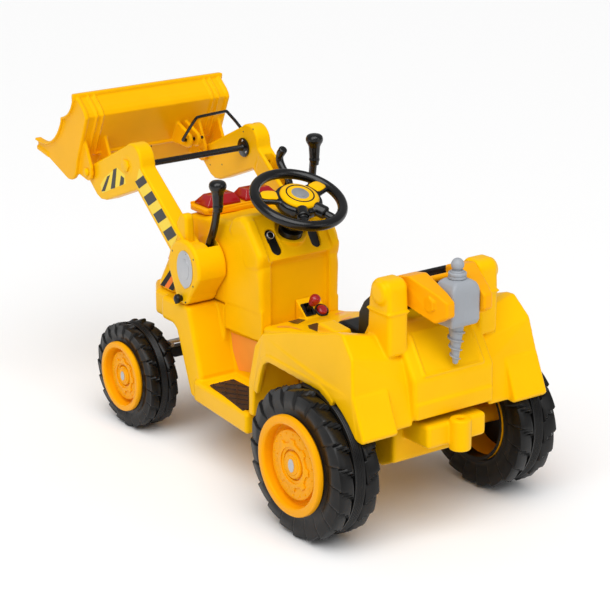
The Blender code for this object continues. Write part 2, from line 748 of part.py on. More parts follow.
def make_bucket():
    line = [BUCKET_LIP, *BUCKET_FOLD, BUCKET_HEEL, BUCKET_SOLE, BUCKET_EDGE]
    inner = offset_open(line, -0.0055)
    body = plate(line + list(reversed(inner)), (-0.172, 0.172), "X")
    lip = soften(block((-0.178, 0.178), (-0.8640, -0.8520), (0.6215, 0.6340)), 0.002)
    edge = plate([(-0.980, 0.4805), (-1.021, 0.4875), (-1.021, 0.4965), (-0.980, 0.4895)],
                 (-0.172, 0.172), "X")
    body = join(body, lip, edge)
    back = line[:4]
    rib_outline = offset_open(back, 0.0035) + list(reversed(offset_open(back, -0.0020)))
    for _, side in SIDES:
        cheek = soften(plate(bucket_cheek(), (0.1645, 0.1735), "X"), 0.002)
        body = join(body, sided(cheek, side))
        for ear_x in ((0.1100, 0.1170), (0.1580, 0.1650)):
            body = join(body, sided(plate(bucket_ears(), ear_x, "X"), side))
        for rib_x in ((0.1300, 0.1340), (0.1440, 0.1480)):
            body = join(body, sided(plate(rib_outline, rib_x, "X"), side))
        hole = cylinder(on_side(BUCKET_PIVOT, 0.10), on_side(BUCKET_PIVOT, 0.171), PIN_R + GAP, 12)
        body = cut(body, sided(hole, side))
        pin = turned([(0.0, 0.1700), (0.0075, 0.1690), (0.0085, 0.1655), (PIN_R, 0.1654),
                      (PIN_R, 0.1095), (0.0075, 0.1094), (0.0075, 0.1060), (0.0, 0.1055)],
                     on_side(BUCKET_PIVOT, 0.0), "X", 12)
        finish(sided(pin, side), "bucket_pin_left" if side > 0 else "bucket_pin_right", YELLOW,
               on_side(BUCKET_PIVOT, 0.0))
    for ear_x in ((-0.0635, -0.0555), (-0.0835, -0.0755)):
        body = join(body, plate(rod_ear(), ear_x, "X"))
    pin_hole = cylinder((-0.100, *ROD_PIN), (-0.040, *ROD_PIN), ROD_R + GAP, 12)
    body = cut(body, pin_hole)
    finish(body, "bucket", YELLOW, on_side(BUCKET_PIVOT, 0.0))


# ---------------------------------------------------------------- bucket tilt
def make_tilt_gear():
    """The wire that tips the bucket, and the short handle that works it."""
    route = [(-0.0970, *ROD_PIN), (-0.0490, *ROD_PIN), (-0.0460, -0.8035, 0.5185),
             (-0.0465, -0.7530, 0.5740), (-0.0510, -0.7490, 0.5770), (-0.1330, -0.7715, 0.5735),
             (TILT_X, -0.7760, 0.5714), (TILT_X, -0.7245, 0.5477), (TILT_X, -0.6400, 0.4900)]
    rod = tube(route, ROD_R)
    finish(rod, "tilt_rod", BLACK, on_side(ROD_PIN, 0.0))
    blade = plate([(-0.570, 0.438), (-0.560, 0.432), (-0.550, 0.438), (-0.538, 0.478), (-0.5520, 0.506),
                   (-0.562, 0.500), (-0.553, 0.478)], (-0.1440, -0.1320), "X")
    grip = cylinder((TILT_X, -0.556, 0.498), (TILT_X, -0.578, 0.532), 0.0085, 12)
    lever = join(soften(blade, 0.002), grip)
    pin = cylinder((-0.1256, *TILT_LEVER_PIVOT), (-0.1494, *TILT_LEVER_PIVOT), PIN_R, 12)
    finish(join(lever, pin), "tilt_lever", BLACK, on_side(TILT_LEVER_PIVOT, TILT_X))


# ---------------------------------------------------------------- steering
def ring(centre, normal, radius, thickness, around=24, across=8):
    """A torus that faces along normal."""
    turn = Vector((0, 0, 1)).rotation_difference(normal)
    bm = bmesh.new()
    rows = []
    for i in range(around):
        angle = 2 * math.pi * i / around
        row = []
        for j in range(across):
            tilt = 2 * math.pi * j / across
            reach = radius + thickness * math.cos(tilt)
            place = Vector((reach * math.cos(angle), reach * math.sin(angle),
                            thickness * math.sin(tilt)))
            row.append(bm.verts.new(turn @ place + centre))
        rows.append(row)
    for i in range(around):
        row, following = rows[i], rows[(i + 1) % around]
        for j in range(across):
            k = (j + 1) % across
            bm.faces.new((row[j], following[j], following[k], row[k]))
    return object_from(bm, "ring")


def wheel_point(angle, radius, height):
    """A point on the steering wheel: angle from the digger's left, height above the ring."""
    turn = math.radians(angle)
    left = Vector((1, 0, 0))
    back = steer_axis().cross(left)
    return along_column(height) + radius * (math.cos(turn) * left + math.sin(turn) * back)


def spoke(angle, half_width, thickness):
    """A flat spoke that drops from the hub to the ring."""
    along = wheel_point(angle, 1.0, 0.0) - along_column(0.0)
    across = steer_axis().cross(along)
    rings = []
    for reach, height, half in ((0.0410, 0.002, half_width), (0.060, 0.001, 0.9 * half_width),
                                (STEER_RING_R, -0.002, 0.8 * half_width)):
        middle = along_column(height) + along * reach
        up = steer_axis() * thickness / 2
        rings.append([middle + across * half + up, middle - across * half + up,
                      middle - across * half - up, middle + across * half - up])
    return soften(loft(rings), 0.0025)


def make_steering():
    axis = steer_axis()
    wheel = ring(along_column(0.0), axis, STEER_RING_R, STEER_TUBE_R)
    hub = turned([(0.0, 0.0060), (0.0425, 0.0060), (0.0465, 0.002), (0.0450, -0.012), (0.0270, -0.030),
                  (0.0200, -0.060), (0.0, -0.060)], along_column(0.0), axis, 16)
    wheel = join(wheel, hub)
    for angle in (200.0, 340.0):
        wheel = join(wheel, spoke(angle, 0.017, 0.012))
    for angle in (65.0, 115.0):
        bar = cylinder(wheel_point(angle, 0.030, -0.005), wheel_point(angle, 0.083, -0.001), 0.0075, 12)
        wheel = join(wheel, bar)
    bore = cylinder(along_column(-0.07), along_column(-0.006), AXLE_R + GAP, 16)
    finish(cut(wheel, bore), "steering_wheel", BLACK, along_column(0.0))
    cover = turned([(0.0, 0.0145), (0.027, 0.0140), (0.0370, 0.0115), (0.0385, 0.0064), (0.0, 0.0064)],
                   along_column(0.0), axis, 16)
    finish(cover, "steering_hub_cover", YELLOW, along_column(0.0))
    shaft = cylinder(along_column(-0.353), along_column(-0.0065), AXLE_R, 16)
    crank = block((-0.008, 0.008), (-0.496, -0.452), (0.1780, 0.1830))
    finish(join(shaft, crank), "steering_shaft", STEEL, along_column(0.0))
    collar = turned([(0.0220, -0.066), (0.0235, -0.068), (0.0235, -0.0772), (0.0075, -0.0772),
                     (0.0075, -0.066), (0.0220, -0.066)], along_column(0.0), axis, 16)
    finish(collar, "column_collar", BLACK)


def make_front_axle():
    beam = block((-0.105, 0.105), (-0.645, -0.625), AXLE_HOLDER_Z)
    for _, side in SIDES:
        eye = cylinder((side * KINGPIN_X, -WHEELBASE, AXLE_HOLDER_Z[0]),
                       (side * KINGPIN_X, -WHEELBASE, AXLE_HOLDER_Z[1]), 0.0140, 16)
        hole = cylinder((side * KINGPIN_X, -WHEELBASE, 0.1), (side * KINGPIN_X, -WHEELBASE, 0.2),
                        0.0042 + GAP, 16)
        beam = cut(join(beam, eye), hole)
    finish(beam, "front_axle", STEEL)
    for name, side in SIDES:
        route = [(0.2015, -WHEELBASE, FRONT_TYRE_R), (0.124, -WHEELBASE, FRONT_TYRE_R),
                 (0.1198, -WHEELBASE, 0.1085), (KINGPIN_X, -WHEELBASE, 0.1125),
                 (KINGPIN_X, -WHEELBASE, 0.158), (KINGPIN_X, -0.632, 0.1625), (KINGPIN_X, -0.628, 0.164),
                 (KINGPIN_X, -0.596, 0.164)]
        rod = tube([(side * x, y, z) for x, y, z in route], 0.0042)
        finish(rod, "steering_knuckle_" + name, STEEL, (side * KINGPIN_X, -WHEELBASE, FRONT_TYRE_R))
    outline = [(-0.126, -0.607), (0.126, -0.607), (0.126, -0.591), (0.020, -0.580), (0.014, -0.480),
               (-0.014, -0.480), (-0.020, -0.580), (-0.126, -0.591)]
    finish(plate(outline, (0.1696, 0.1730), "Z"), "tie_rod", STEEL, (0.0, -0.599, 0.171))


# ---------------------------------------------------------------- rear shell
def fender_outline():
    return [
        (-0.226, FLOOR_Z + GAP), (-0.225, 0.215), (-0.200, 0.300), (-0.176, 0.330), (-0.090, 0.356),
        (0.010, 0.384), (0.068, 0.390), (0.100, 0.358), (0.118, 0.290), (0.149, 0.221), (0.141, 0.214),
        (0.130, 0.2115), (0.1185, 0.2240), (0.1040, 0.2400), (0.0860, 0.2550), (0.0640, 0.2700),
        (0.0400, 0.2810), (0.0200, 0.2880),
        (-0.140, 0.288), (-0.160, 0.286), (-0.178, 0.274), (-0.190, 0.250), (-0.204, 0.205),
        (-0.209, FLOOR_Z + GAP),
    ]


def taper_fender(obj):
    """Draws the outer side in towards the front and the top."""
    for vertex in obj.data.vertices:
        if vertex.co.x > 0.15:
            forward = max(0.0, 0.06 - vertex.co.y)
            above = max(0.0, vertex.co.z - 0.300)
            vertex.co.x -= 0.070 * forward + 0.16 * above
    return obj


def fender(side):
    outline = fender_outline()
    outer = taper_fender(plate(outline, (HULL_X + 0.0008, 0.2085), "X"))
    return sided(soften(outer, 0.008, 25), side)


def fender_hollow(side):
    outline = [(-0.196, 0.250), (-0.180, 0.300), (-0.166, 0.320), (-0.086, 0.346), (0.010, 0.374),
               (0.062, 0.380), (0.090, 0.352), (0.104, 0.290), (0.094, 0.262), (0.060, 0.2810),
               (0.0200, 0.2950), (-0.150, 0.2950)]
    return sided(taper_fender(plate(outline, (0.093, 0.2005), "X")), side)


def saddle():
    outline = [(-0.3215, SEAM_Z + GAP), (-0.3215, 0.2740), (-0.293, 0.2785), (-0.246, 0.291),
               (-0.200, 0.2985), (-0.150, 0.3065), (-0.120, 0.320), (-0.020, 0.332), (0.010, 0.384),
               (0.068, 0.388), (0.090, 0.372), (0.137, 0.300), (0.139, 0.240), (0.134, 0.226),
               (0.090, 0.224), (0.080, SEAM_Z + GAP)]
    half = 0.090
    return soften(plate(outline, (-half, half), "X"), 0.007, 25)


HORN_X = -0.0345
HORN_ALONG = 0.0370


def on_console(x, along, up):
    """A point over the sloping face of the console: along runs down the slope to the rear."""
    slope = math.radians(40.4)
    return Vector((x, -0.3308 + along * math.cos(slope) + up * math.sin(slope),
                   0.3107 - along * math.sin(slope) + up * math.cos(slope)))


def console_slab(x, along, up):
    """A slab that lies on the console's slope between the pairs of limits."""
    rings = []
    for level in up:
        rings.append([on_console(x[0], along[0], level), on_console(x[1], along[0], level),
                      on_console(x[1], along[1], level), on_console(x[0], along[1], level)])
    return loft(rings)


def console():
    outline = [(-0.3308, 0.2600), (-0.3308, 0.3107), (-0.2900, 0.2760), (-0.2900, 0.2690),
               (-0.3150, 0.2600)]
    wedge = plate(outline, (-0.0475, 0.0065), "X")
    horn_socket = cylinder(on_console(HORN_X, HORN_ALONG, -0.0035),
                           on_console(HORN_X, HORN_ALONG, 0.0100), 0.0113)
    shifter_slot = console_slab((-0.0135, -0.0005), (0.0165, 0.0415), (-0.0100, 0.0100))
    return cut(wedge, shifter_slot, horn_socket)


def post(side):
    outline = [(0.040, 0.340), (0.046, 0.440), (0.051, 0.464), (0.063, 0.4765), (0.092, 0.4765),
               (0.1030, 0.466), (0.1055, 0.430), (0.1060, 0.340)]
    body = soften(plate(outline, POST_X, "X"), 0.005, 25)
    cap = turned([(0.0, 0.0070), (0.0170, 0.0070), (0.0200, 0.0040), (0.0200, -0.004), (0.0, -0.004)],
                 (POST_X[1], 0.0790, 0.4530), "X", 12)
    return sided(join(body, cap), side)


def make_rear_body():
    body = saddle()
    for _, side in SIDES:
        body = join(body, fender(side))
    body = join(body, console())
    for _, side in SIDES:
        body = join(body, post(side))
    hollow = [(-0.316, 0.20), (-0.316, 0.2690), (-0.293, 0.2725), (-0.246, 0.285), (-0.200, 0.2925),
              (-0.152, 0.3005), (-0.122, 0.314), (-0.024, 0.326), (0.006, 0.378), (0.066, 0.381),
              (0.086, 0.367), (0.131, 0.298), (0.132, 0.20)]
    body = cut(body, plate(hollow, (-0.0835, 0.0835), "X"))
    for _, side in SIDES:
        body = cut(body, fender_hollow(side))
    panel = plate([(0.0955, 0.3670), (0.1295, 0.3140), (0.1465, 0.328), (0.1165, 0.388)],
                  (-0.058, 0.058), "X")
    body = cut(body, panel)
    shaft_hole = cylinder((-0.1206, *DRILL_PIVOT), (0.1206, *DRILL_PIVOT), 0.0060 + GAP, 16)
    finish(cut(body, shaft_hole), "rear_body", YELLOW)


def make_seat():
    outline = [(-0.135, 0.3345), (-0.128, 0.345), (-0.110, 0.348), (-0.030, 0.342), (-0.012, 0.352),
               (0.004, 0.400), (0.021, 0.446), (0.028, 0.4570), (0.0360, 0.4555), (0.0345, 0.442),
               (0.010, 0.3905), (-0.022, 0.3345), (-0.060, 0.3305)]
    outline = [(y, z + 0.0005) for y, z in outline]
    finish(soften(plate(outline, (-0.0770, 0.0770), "X"), 0.005, 40), "seat", BLACK)


def make_controls():
    frame = console_slab((-0.0185, 0.0045), (0.0155, 0.0430), (GAP, 0.0034))
    slot = console_slab((-0.0133, -0.0007), (0.0167, 0.0413), (-0.0100, 0.0100))
    finish(cut(frame, slot), "shifter_plate", BLACK)
    lever_x, lever_along = -0.0070, 0.0290
    pivot = on_console(lever_x, lever_along, -0.0120)
    stem = cylinder(on_console(lever_x, lever_along, -0.0070),
                    on_console(lever_x, lever_along, 0.0190), 0.0050, 12)
    finish(stem, "shifter_stem", BLACK, pivot)
    slope_up = on_console(0.0, 0.0, 1.0) - on_console(0.0, 0.0, 0.0)
    knob = turned([(0.0, 0.0445), (0.0060, 0.0440), (0.0100, 0.0390), (0.0104, 0.0320), (0.0085, 0.0240),
                   (0.0060, 0.0194), (0.0, 0.0194)], on_console(lever_x, lever_along, 0.0), slope_up, 14)
    finish(knob, "shifter_knob", RED, pivot)
    horn_base = on_console(HORN_X, HORN_ALONG, -0.0010)
    horn = turned([(0.0, 0.0085), (0.0085, 0.0082), (0.0105, 0.0055), (0.0105, 0.0), (0.0, 0.0)],
                  horn_base, slope_up, 16)
    finish(horn, "horn_button", RED, horn_base)
    pedal = plate([(-0.405, 0.1650), (-0.352, 0.1545), (-0.352, 0.1580), (-0.380, 0.1720),
                   (-0.405, 0.1760)], (-0.160, -0.118), "X")
    finish(soften(pedal, 0.002), "foot_pedal", BLACK, (-0.139, -0.353, 0.155))


def make_drive():
    finish(cylinder((-0.2410, 0, REAR_TYRE_R), (0.2410, 0, REAR_TYRE_R), AXLE_R, 16), "rear_axle", STEEL)
    case = soften(block((0.0900, 0.1300), (-0.052, 0.034), (0.108, 0.196)), 0.006)
    motor = cylinder((0.110, -0.0700, 0.222), (0.110, -0.0200, 0.180), 0.018, 16)
    case = join(case, motor)
    bore = cylinder((0.08, 0, REAR_TYRE_R), (0.15, 0, REAR_TYRE_R), AXLE_R + 0.0006, 16)
    finish(cut(case, bore), "gearbox", BLACK)
    battery = soften(block((-0.050, 0.050), (-0.410, -0.340), (HULL_FLOOR + WALL + GAP, 0.215)), 0.003)
    terminals = block((-0.035, -0.028), (-0.380, -0.370), (0.210, 0.222))
    finish(join(battery, terminals, mirrored(terminals)), "battery", BLACK)


# ---------------------------------------------------------------- drill
def drill_arm(side):
    half = [(0.0640, 0.472), (0.0950, 0.4780), (0.1520, 0.4555), (0.1720, 0.4440), (0.1730, 0.418),
            (0.1480, 0.403), (0.0900, 0.424), (0.0680, 0.432)]
    rings = []
    for y, z in half:
        inward = max(0.0, y - 0.095) * 0.32
        rings.append([(0.0755 - inward, y, z), (0.0320, y, z)])
    outer = [row[0] for row in rings]
    inner = [row[1] for row in rings]
    return sided(soften(loft([inner, outer]), 0.004, 25), side)


def drill_case():
    """The drill's housing: its shoulders arch in to the top. Height, half width, front, rear."""
    rings = []
    for z, half, front, rear in ((0.3900, 0.0290, 0.1190, 0.1600), (0.4000, 0.0312, 0.1115, 0.1640),
                                 (0.4480, 0.0312, 0.1112, 0.1640), (0.4580, 0.0295, 0.1125, 0.1630),
                                 (0.4660, 0.0255, 0.1155, 0.1605), (0.4705, 0.0190, 0.1195, 0.1560),
                                 (0.4720, 0.0125, 0.1245, 0.1500)):
        rings.append([(half, front, z), (half, rear, z), (-half, rear, z), (-half, front, z)])
    return soften(loft(rings), 0.004, 50)


def make_drill():
    arms = cylinder((-0.0760, *DRILL_PIVOT), (0.0760, *DRILL_PIVOT), 0.0060, 16)
    arms = join(arms, cylinder((-0.1200, *DRILL_PIVOT), (0.1200, *DRILL_PIVOT), 0.0060, 16))
    for _, side in SIDES:
        arms = join(arms, drill_arm(side))
    tilt_axis = (DRILL_AXIS_Y, DRILL_TILT_Z)
    pin_hole = cylinder(on_side(tilt_axis, -0.05), on_side(tilt_axis, 0.05), 0.0060 + GAP, 16)
    finish(cut(arms, pin_hole), "drill_arms", AMBER, on_side(DRILL_PIVOT, 0.0))
    body = join(drill_case(), cylinder(on_side(tilt_axis, -0.048), on_side(tilt_axis, 0.048), 0.0060, 16))
    body = cut(body, cylinder((0, DRILL_AXIS_Y, 0.36), (0, DRILL_AXIS_Y, 0.50), 0.0065, 16))
    finish(body, "drill_housing", GREY, (0, DRILL_AXIS_Y, DRILL_TILT_Z))
    profile = [(0.0, 0.5080), (0.006, 0.5070), (0.0108, 0.5020), (0.0115, 0.4960), (0.0095, 0.4905),
               (0.0070, 0.4880), (0.0085, 0.4850), (0.0150, 0.4840), (0.0160, 0.4800), (0.0160, 0.4726),
               (0.0060, 0.4724), (0.0060, 0.3894), (0.0130, 0.3892)]
    top, bottom, flights = 0.3880, 0.3160, 4
    for i in range(flights):
        high = top - (top - bottom) * i / flights
        step = (top - bottom) / flights
        core = 0.0115 - 0.0018 * i
        profile += [(core + 0.0045, high - 0.10 * step), (core + 0.0040, high - 0.26 * step),
                    (core - 0.0010, high - 0.60 * step)]
    profile += [(0.0042, bottom), (0.0, bottom - 0.0005)]
    bit = turned(profile, (0, DRILL_AXIS_Y, 0), "Z", 12)
    finish(bit, "drill_bit", GREY, (0, DRILL_AXIS_Y, DRILL_TILT_Z))


def make_digger():
    make_wheels()
    make_lower_body()
    make_floor_mats()
    make_front_body()
    make_dash_plates()
    make_light_tray()
    make_side_markers()
    make_pivot_housings()
    make_arms()
    make_lift_levers()
    make_bucket()
    make_tilt_gear()
    make_steering()
    make_front_axle()
    make_rear_body()
    make_seat()
    make_controls()
    make_drive()
    make_drill()


make_digger()
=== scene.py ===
"""Looks for the ride-on digger: moulded shells, treaded tyres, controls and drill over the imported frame.

Metres, +Z up. The nose points along -Y and the digger's left side is +X. Lengths along Y are given
from the datum, the point on the ground under the rear axle, as in the CAD part.
"""

import math

import bmesh
import bpy
from mathutils import Matrix, Vector


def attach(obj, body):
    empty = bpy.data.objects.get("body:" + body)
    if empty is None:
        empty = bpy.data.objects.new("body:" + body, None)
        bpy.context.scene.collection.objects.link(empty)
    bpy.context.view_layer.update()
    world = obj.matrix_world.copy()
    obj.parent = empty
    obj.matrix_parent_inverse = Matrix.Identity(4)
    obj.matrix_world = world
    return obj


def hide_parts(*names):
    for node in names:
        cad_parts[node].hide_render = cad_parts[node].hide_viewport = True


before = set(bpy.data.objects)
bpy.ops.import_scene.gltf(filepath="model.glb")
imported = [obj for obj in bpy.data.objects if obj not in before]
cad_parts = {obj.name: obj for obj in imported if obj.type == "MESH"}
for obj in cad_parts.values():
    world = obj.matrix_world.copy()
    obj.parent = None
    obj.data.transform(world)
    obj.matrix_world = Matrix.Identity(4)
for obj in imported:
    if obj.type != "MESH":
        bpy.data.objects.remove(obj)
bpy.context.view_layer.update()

# ---------------------------------------------------------------- measures shared with the CAD part
DATUM_Y = 0.423            # the rear axle stands this far behind the middle of the footprint
SIDES = (("left", 1), ("right", -1))
X_AXIS = Vector((1, 0, 0))
Y_AXIS = Vector((0, 1, 0))
Z_AXIS = Vector((0, 0, 1))

REAR_AXLE = (0.0, 0.14)     # axles, pivots and pins are (Y, Z) points
FRONT_AXLE = (-0.635, 0.1072)
HULL_X = 0.085
SEAM_Z = 0.24
FLOOR_Z = 0.15
ARM_X = (0.12, 0.155)
ARM_PIVOT = (-0.476, 0.364)
ARM_ELBOW = (-0.6745, 0.538)
BUCKET_PIVOT = (-0.834, 0.476)
CROSSBAR = (-0.687, 0.516)
ROD_PIN = (-0.806, 0.5165)
TILT_X = -0.138
TILT_LEVER_PIVOT = (-0.56, 0.446)
STEER_TILT = math.radians(21.5)
STEER_CENTRE = (-0.329, 0.506)
STEER_RING_R = 0.085
DRILL_PIVOT = (0.085, 0.459)
DRILL_AXIS_Y = 0.137
DRILL_TILT = (DRILL_AXIS_Y, 0.436)
CONSOLE_SLOPE = math.radians(40.4)
AXLE_R = 0.005

VOXEL = 0.002          # remeshing step of the large shells
FINE_VOXEL = 0.0014    # and of the smaller mouldings


# ---------------------------------------------------------------- procedural materials
def node(tree, kind, **values):
    """A shader node with the given inputs set, by socket name with underscores for spaces."""
    made = tree.nodes.new(kind)
    for key, value in values.items():
        made.inputs[key.replace("_", " ")].default_value = value
    return made


def look(name, slot, colour, roughness, metallic=0.0, coat=0.0, mottle=0.05, spread=0.06,
         grain=1100.0, relief=0.05, patch=16.0, shine=0.5, glint=(1.0, 1.0, 1.0)):
    """A moulded or metal finish: mottled colour, uneven gloss and a fine grain."""
    made = bpy.data.materials.new(name)
    made.use_nodes = True
    made["slot"] = slot
    tree = made.node_tree
    shader = tree.nodes["Principled BSDF"]
    shader.inputs["Metallic"].default_value = metallic
    shader.inputs["Specular IOR Level"].default_value = shine
    shader.inputs["Specular Tint"].default_value = (*glint, 1.0)
    shader.inputs["Coat Weight"].default_value = coat
    shader.inputs["Coat Roughness"].default_value = 0.12
    place = tree.nodes.new("ShaderNodeTexCoord")
    broad = node(tree, "ShaderNodeTexNoise", Scale=patch, Detail=3.0)
    ramp = tree.nodes.new("ShaderNodeValToRGB")
    ramp.color_ramp.elements[0].position = 0.3
    ramp.color_ramp.elements[1].position = 0.7
    for element, share in zip(ramp.color_ramp.elements, (1.0 - mottle, 1.0 + mottle)):
        element.color = (*(min(1.0, c * share) for c in colour), 1.0)
    uneven = node(tree, "ShaderNodeTexNoise", Scale=5 * patch, Detail=4.0)
    gloss = node(tree, "ShaderNodeMapRange", To_Min=roughness - spread, To_Max=roughness + spread)
    fine = node(tree, "ShaderNodeTexNoise", Scale=grain, Detail=2.0)
    bump = node(tree, "ShaderNodeBump", Strength=relief, Distance=0.0006)
    links = tree.links
    for texture in (broad, uneven, fine):
        links.new(place.outputs["Object"], texture.inputs["Vector"])
    links.new(broad.outputs["Fac"], ramp.inputs["Fac"])
    links.new(ramp.outputs["Color"], shader.inputs["Base Color"])
    links.new(uneven.outputs["Fac"], gloss.inputs["Value"])
    links.new(gloss.outputs["Result"], shader.inputs["Roughness"])
    links.new(fine.outputs["Fac"], bump.inputs["Height"])
    links.new(bump.outputs["Normal"], shader.inputs["Normal"])
    return made


WARM = dict(coat=0.01, shine=0.3, glint=(1.0, 0.62, 0.06))      # keeps blue out of the yellows' gloss
YELLOW = look("yellow_shell", "yellow_shell", (0.93, 0.5, 0.001), 0.34, mottle=0.025, **WARM)
BUCKET = look("bucket_shell", "yellow_shell", (0.93, 0.455, 0.0012), 0.36, mottle=0.03, **WARM)
AMBER = look("amber_shell", "amber_shell", (0.9, 0.375, 0.0015), 0.36, mottle=0.03, **WARM)
BLACK = look("black_plastic", "black_plastic", (0.003, 0.003, 0.0033), 0.34, mottle=0.25, shine=0.35)
BAR = look("black_bar", "black_bar", (0.003, 0.003, 0.0033), 0.26, mottle=0.2, relief=0.08, shine=0.45)
CASE = look("battery_case", "battery_case", (0.009, 0.009, 0.01), 0.45, mottle=0.2, relief=0.2, shine=0.3)
SEAT = look("seat_black", "seat_black", (0.0045, 0.0045, 0.005), 0.42, mottle=0.2, relief=0.25, grain=700,
            shine=0.35)
WHEEL = look("wheel_black", "wheel_black", (0.003, 0.003, 0.0034), 0.24, mottle=0.2, shine=0.45)
TREAD = look("tyre_black", "tyre_black", (0.0034, 0.0032, 0.0031), 0.36, mottle=0.3, spread=0.08,
             relief=0.15, grain=800, patch=22, shine=0.3)
GREY = look("grey_plastic", "grey_plastic", (0.33, 0.35, 0.38), 0.38, mottle=0.04, shine=0.3)
RED = look("red_lens", "red_lens", (0.34, 0.002, 0.005), 0.16, coat=0.35, mottle=0.12, relief=0.02)
KNOB = look("red_knob", "red_knob", (0.36, 0.004, 0.009), 0.28, coat=0.2, mottle=0.1)
ORANGE = look("orange_lens", "orange_lens", (0.85, 0.15, 0.02), 0.2, coat=0.3, mottle=0.1)
STEEL = look("axle_steel", "axle_steel", (0.5, 0.5, 0.51), 0.3, metallic=1.0, mottle=0.1, relief=0.12)
BROWN = look("brown_mat", "brown_mat", (0.03, 0.012, 0.006), 0.62, mottle=0.3, relief=0.4, grain=500)
SILVER = look("silver_badge", "axle_steel", (0.5, 0.51, 0.53), 0.3, metallic=0.7, mottle=0.06, relief=0.03)
VINYL_DARK = look("dark_sticker", "black_plastic", (0.018, 0.016, 0.014), 0.36, mottle=0.12, relief=0.02)
VINYL_PEACH = look("peach_sticker", "amber_shell", (0.9, 0.33, 0.05), 0.34, mottle=0.04, relief=0.02)
VINYL_PALE = look("pale_sticker", "yellow_shell", (0.93, 0.66, 0.02), 0.32, mottle=0.03, relief=0.02)
VINYL_ORANGE = look("orange_sticker", "orange_lens", (0.9, 0.2, 0.02), 0.34, mottle=0.04, relief=0.02)


# ---------------------------------------------------------------- mesh tools
def solid(bm, name="solid"):
    """A new object with this mesh, facing out."""
    bmesh.ops.recalc_face_normals(bm, faces=bm.faces)
    if bm.calc_volume(signed=True) < 0:
        bmesh.ops.reverse_faces(bm, faces=bm.faces)
    mesh = bpy.data.meshes.new(name)
    bm.to_mesh(mesh)
    bm.free()
    made = bpy.data.objects.new(name, mesh)
    bpy.context.scene.collection.objects.link(made)
    return made


def skin(rows, bm, looped):
    """Faces between rows of vertices that close round; a row may repeat one vertex as a pole."""
    following_rows = rows[1:] + rows[:1] if looped else rows[1:]
    for row, following in zip(rows, following_rows):
        for i in range(len(row)):
            j = (i + 1) % len(row)
            corners = list(dict.fromkeys((row[i], row[j], following[j], following[i])))
            if len(corners) > 2:
                bm.faces.new(corners)


def loft(rings, looped=False):
    """A solid through rings of points; looped joins the last ring to the first."""
    bm = bmesh.new()
    rows = [[bm.verts.new(place) for place in ring] for ring in rings]
    skin(rows, bm, looped)
    if not looped:
        bm.faces.new(reversed(rows[0]))
        bm.faces.new(rows[-1])
    return solid(bm)


def prism(outline, x):
    """A (Y, Z) outline between two X limits."""
    return loft([[(limit, y, z) for y, z in outline] for limit in x])


def slab(outline, z):
    """An (X, Y) outline between two heights."""
    return loft([[(x, y, limit) for x, y in outline] for limit in z])


def block(x, y, z):
    return slab([(x[0], y[0]), (x[1], y[0]), (x[1], y[1]), (x[0], y[1])], z)


def around(middle, half):
    """The two limits that lie half either side of the middle."""
    return middle - half, middle + half


def one_side(side, low, high):
    """X limits on the left, side 1, or the same limits mirrored to the right, side -1."""
    return sorted((side * low, side * high))


def symmetric(half):
    """A half outline that starts and ends on X = 0, closed by its mirror image."""
    return half + [(-x, y) for x, y in reversed(half[1:-1])]


def lathe(profile, origin=(0, 0, 0), axis=X_AXIS, steps=64):
    """(radius, height) points turned about an axis; they start and end on it, or where they began."""
    turn = Z_AXIS.rotation_difference(axis)
    looped = profile[0] == profile[-1]
    bm = bmesh.new()
    rows = []
    for radius, height in (profile[:-1] if looped else profile):
        count = 1 if radius == 0 else steps
        row = []
        for i in range(count):
            angle = 2 * math.pi * i / steps
            place = Vector((radius * math.cos(angle), radius * math.sin(angle), height))
            row.append(bm.verts.new(turn @ place + Vector(origin)))
        rows.append(row * (steps // count))
    skin(rows, bm, looped)
    return solid(bm)


def rod(start, end, radius, end_radius=None, steps=32):
    """A round bar or cone between two points."""
    line = Vector(end) - Vector(start)
    tip = radius if end_radius is None else end_radius
    return lathe([(0, 0), (radius, 0), (tip, line.length), (0, line.length)], start, line, steps)


def on_side(point, x):
    """A (Y, Z) point at this X."""
    return Vector((x, point[0], point[1]))


def cross_rod(point, x, radius, steps=32):
    """A round bar across the digger through a (Y, Z) point, between two X limits."""
    return rod(on_side(point, x[0]), on_side(point, x[1]), radius, steps=steps)


def washer(radii, levels, origin, axis=X_AXIS, steps=64):
    """A flat ring between two radii and two levels."""
    inner, outer = radii
    low, high = levels
    section = [(inner, low), (outer, low), (outer, high), (inner, high), (inner, low)]
    return lathe(section, origin, axis, steps)


def rounded_path(points, rounds):
    """The points as a line with its corners cut round."""
    points = [Vector(p) for p in points]
    for _ in range(rounds):
        path = [points[0]]
        for a, b in zip(points, points[1:]):
            path += [a.lerp(b, 0.25), a.lerp(b, 0.75)]
        points = path + [points[-1]]
    return points


def tube(points, radius, sides=20, rounds=3):
    """A bent round bar through the points."""
    path = rounded_path(points, rounds)
    normal = (path[1] - path[0]).orthogonal().normalized()
    rings = []
    for i, place in enumerate(path):
        along = (path[min(i + 1, len(path) - 1)] - path[max(i - 1, 0)]).normalized()
        normal = (normal - along * normal.dot(along)).normalized()
        across = along.cross(normal)
        ring = []
        for j in range(sides):
            angle = 2 * math.pi * j / sides
            ring.append(place + radius * (math.cos(angle) * normal + math.sin(angle) * across))
        rings.append(ring)
    return loft(rings)


def modify(obj, kind, **settings):
    """The object with one modifier applied to its mesh."""
    modifier = obj.modifiers.new(kind, kind)
    for key, value in settings.items():
        setattr(modifier, key, value)
    graph = bpy.context.evaluated_depsgraph_get()
    obj.data = bpy.data.meshes.new_from_object(obj.evaluated_get(graph))
    obj.modifiers.clear()
    return obj


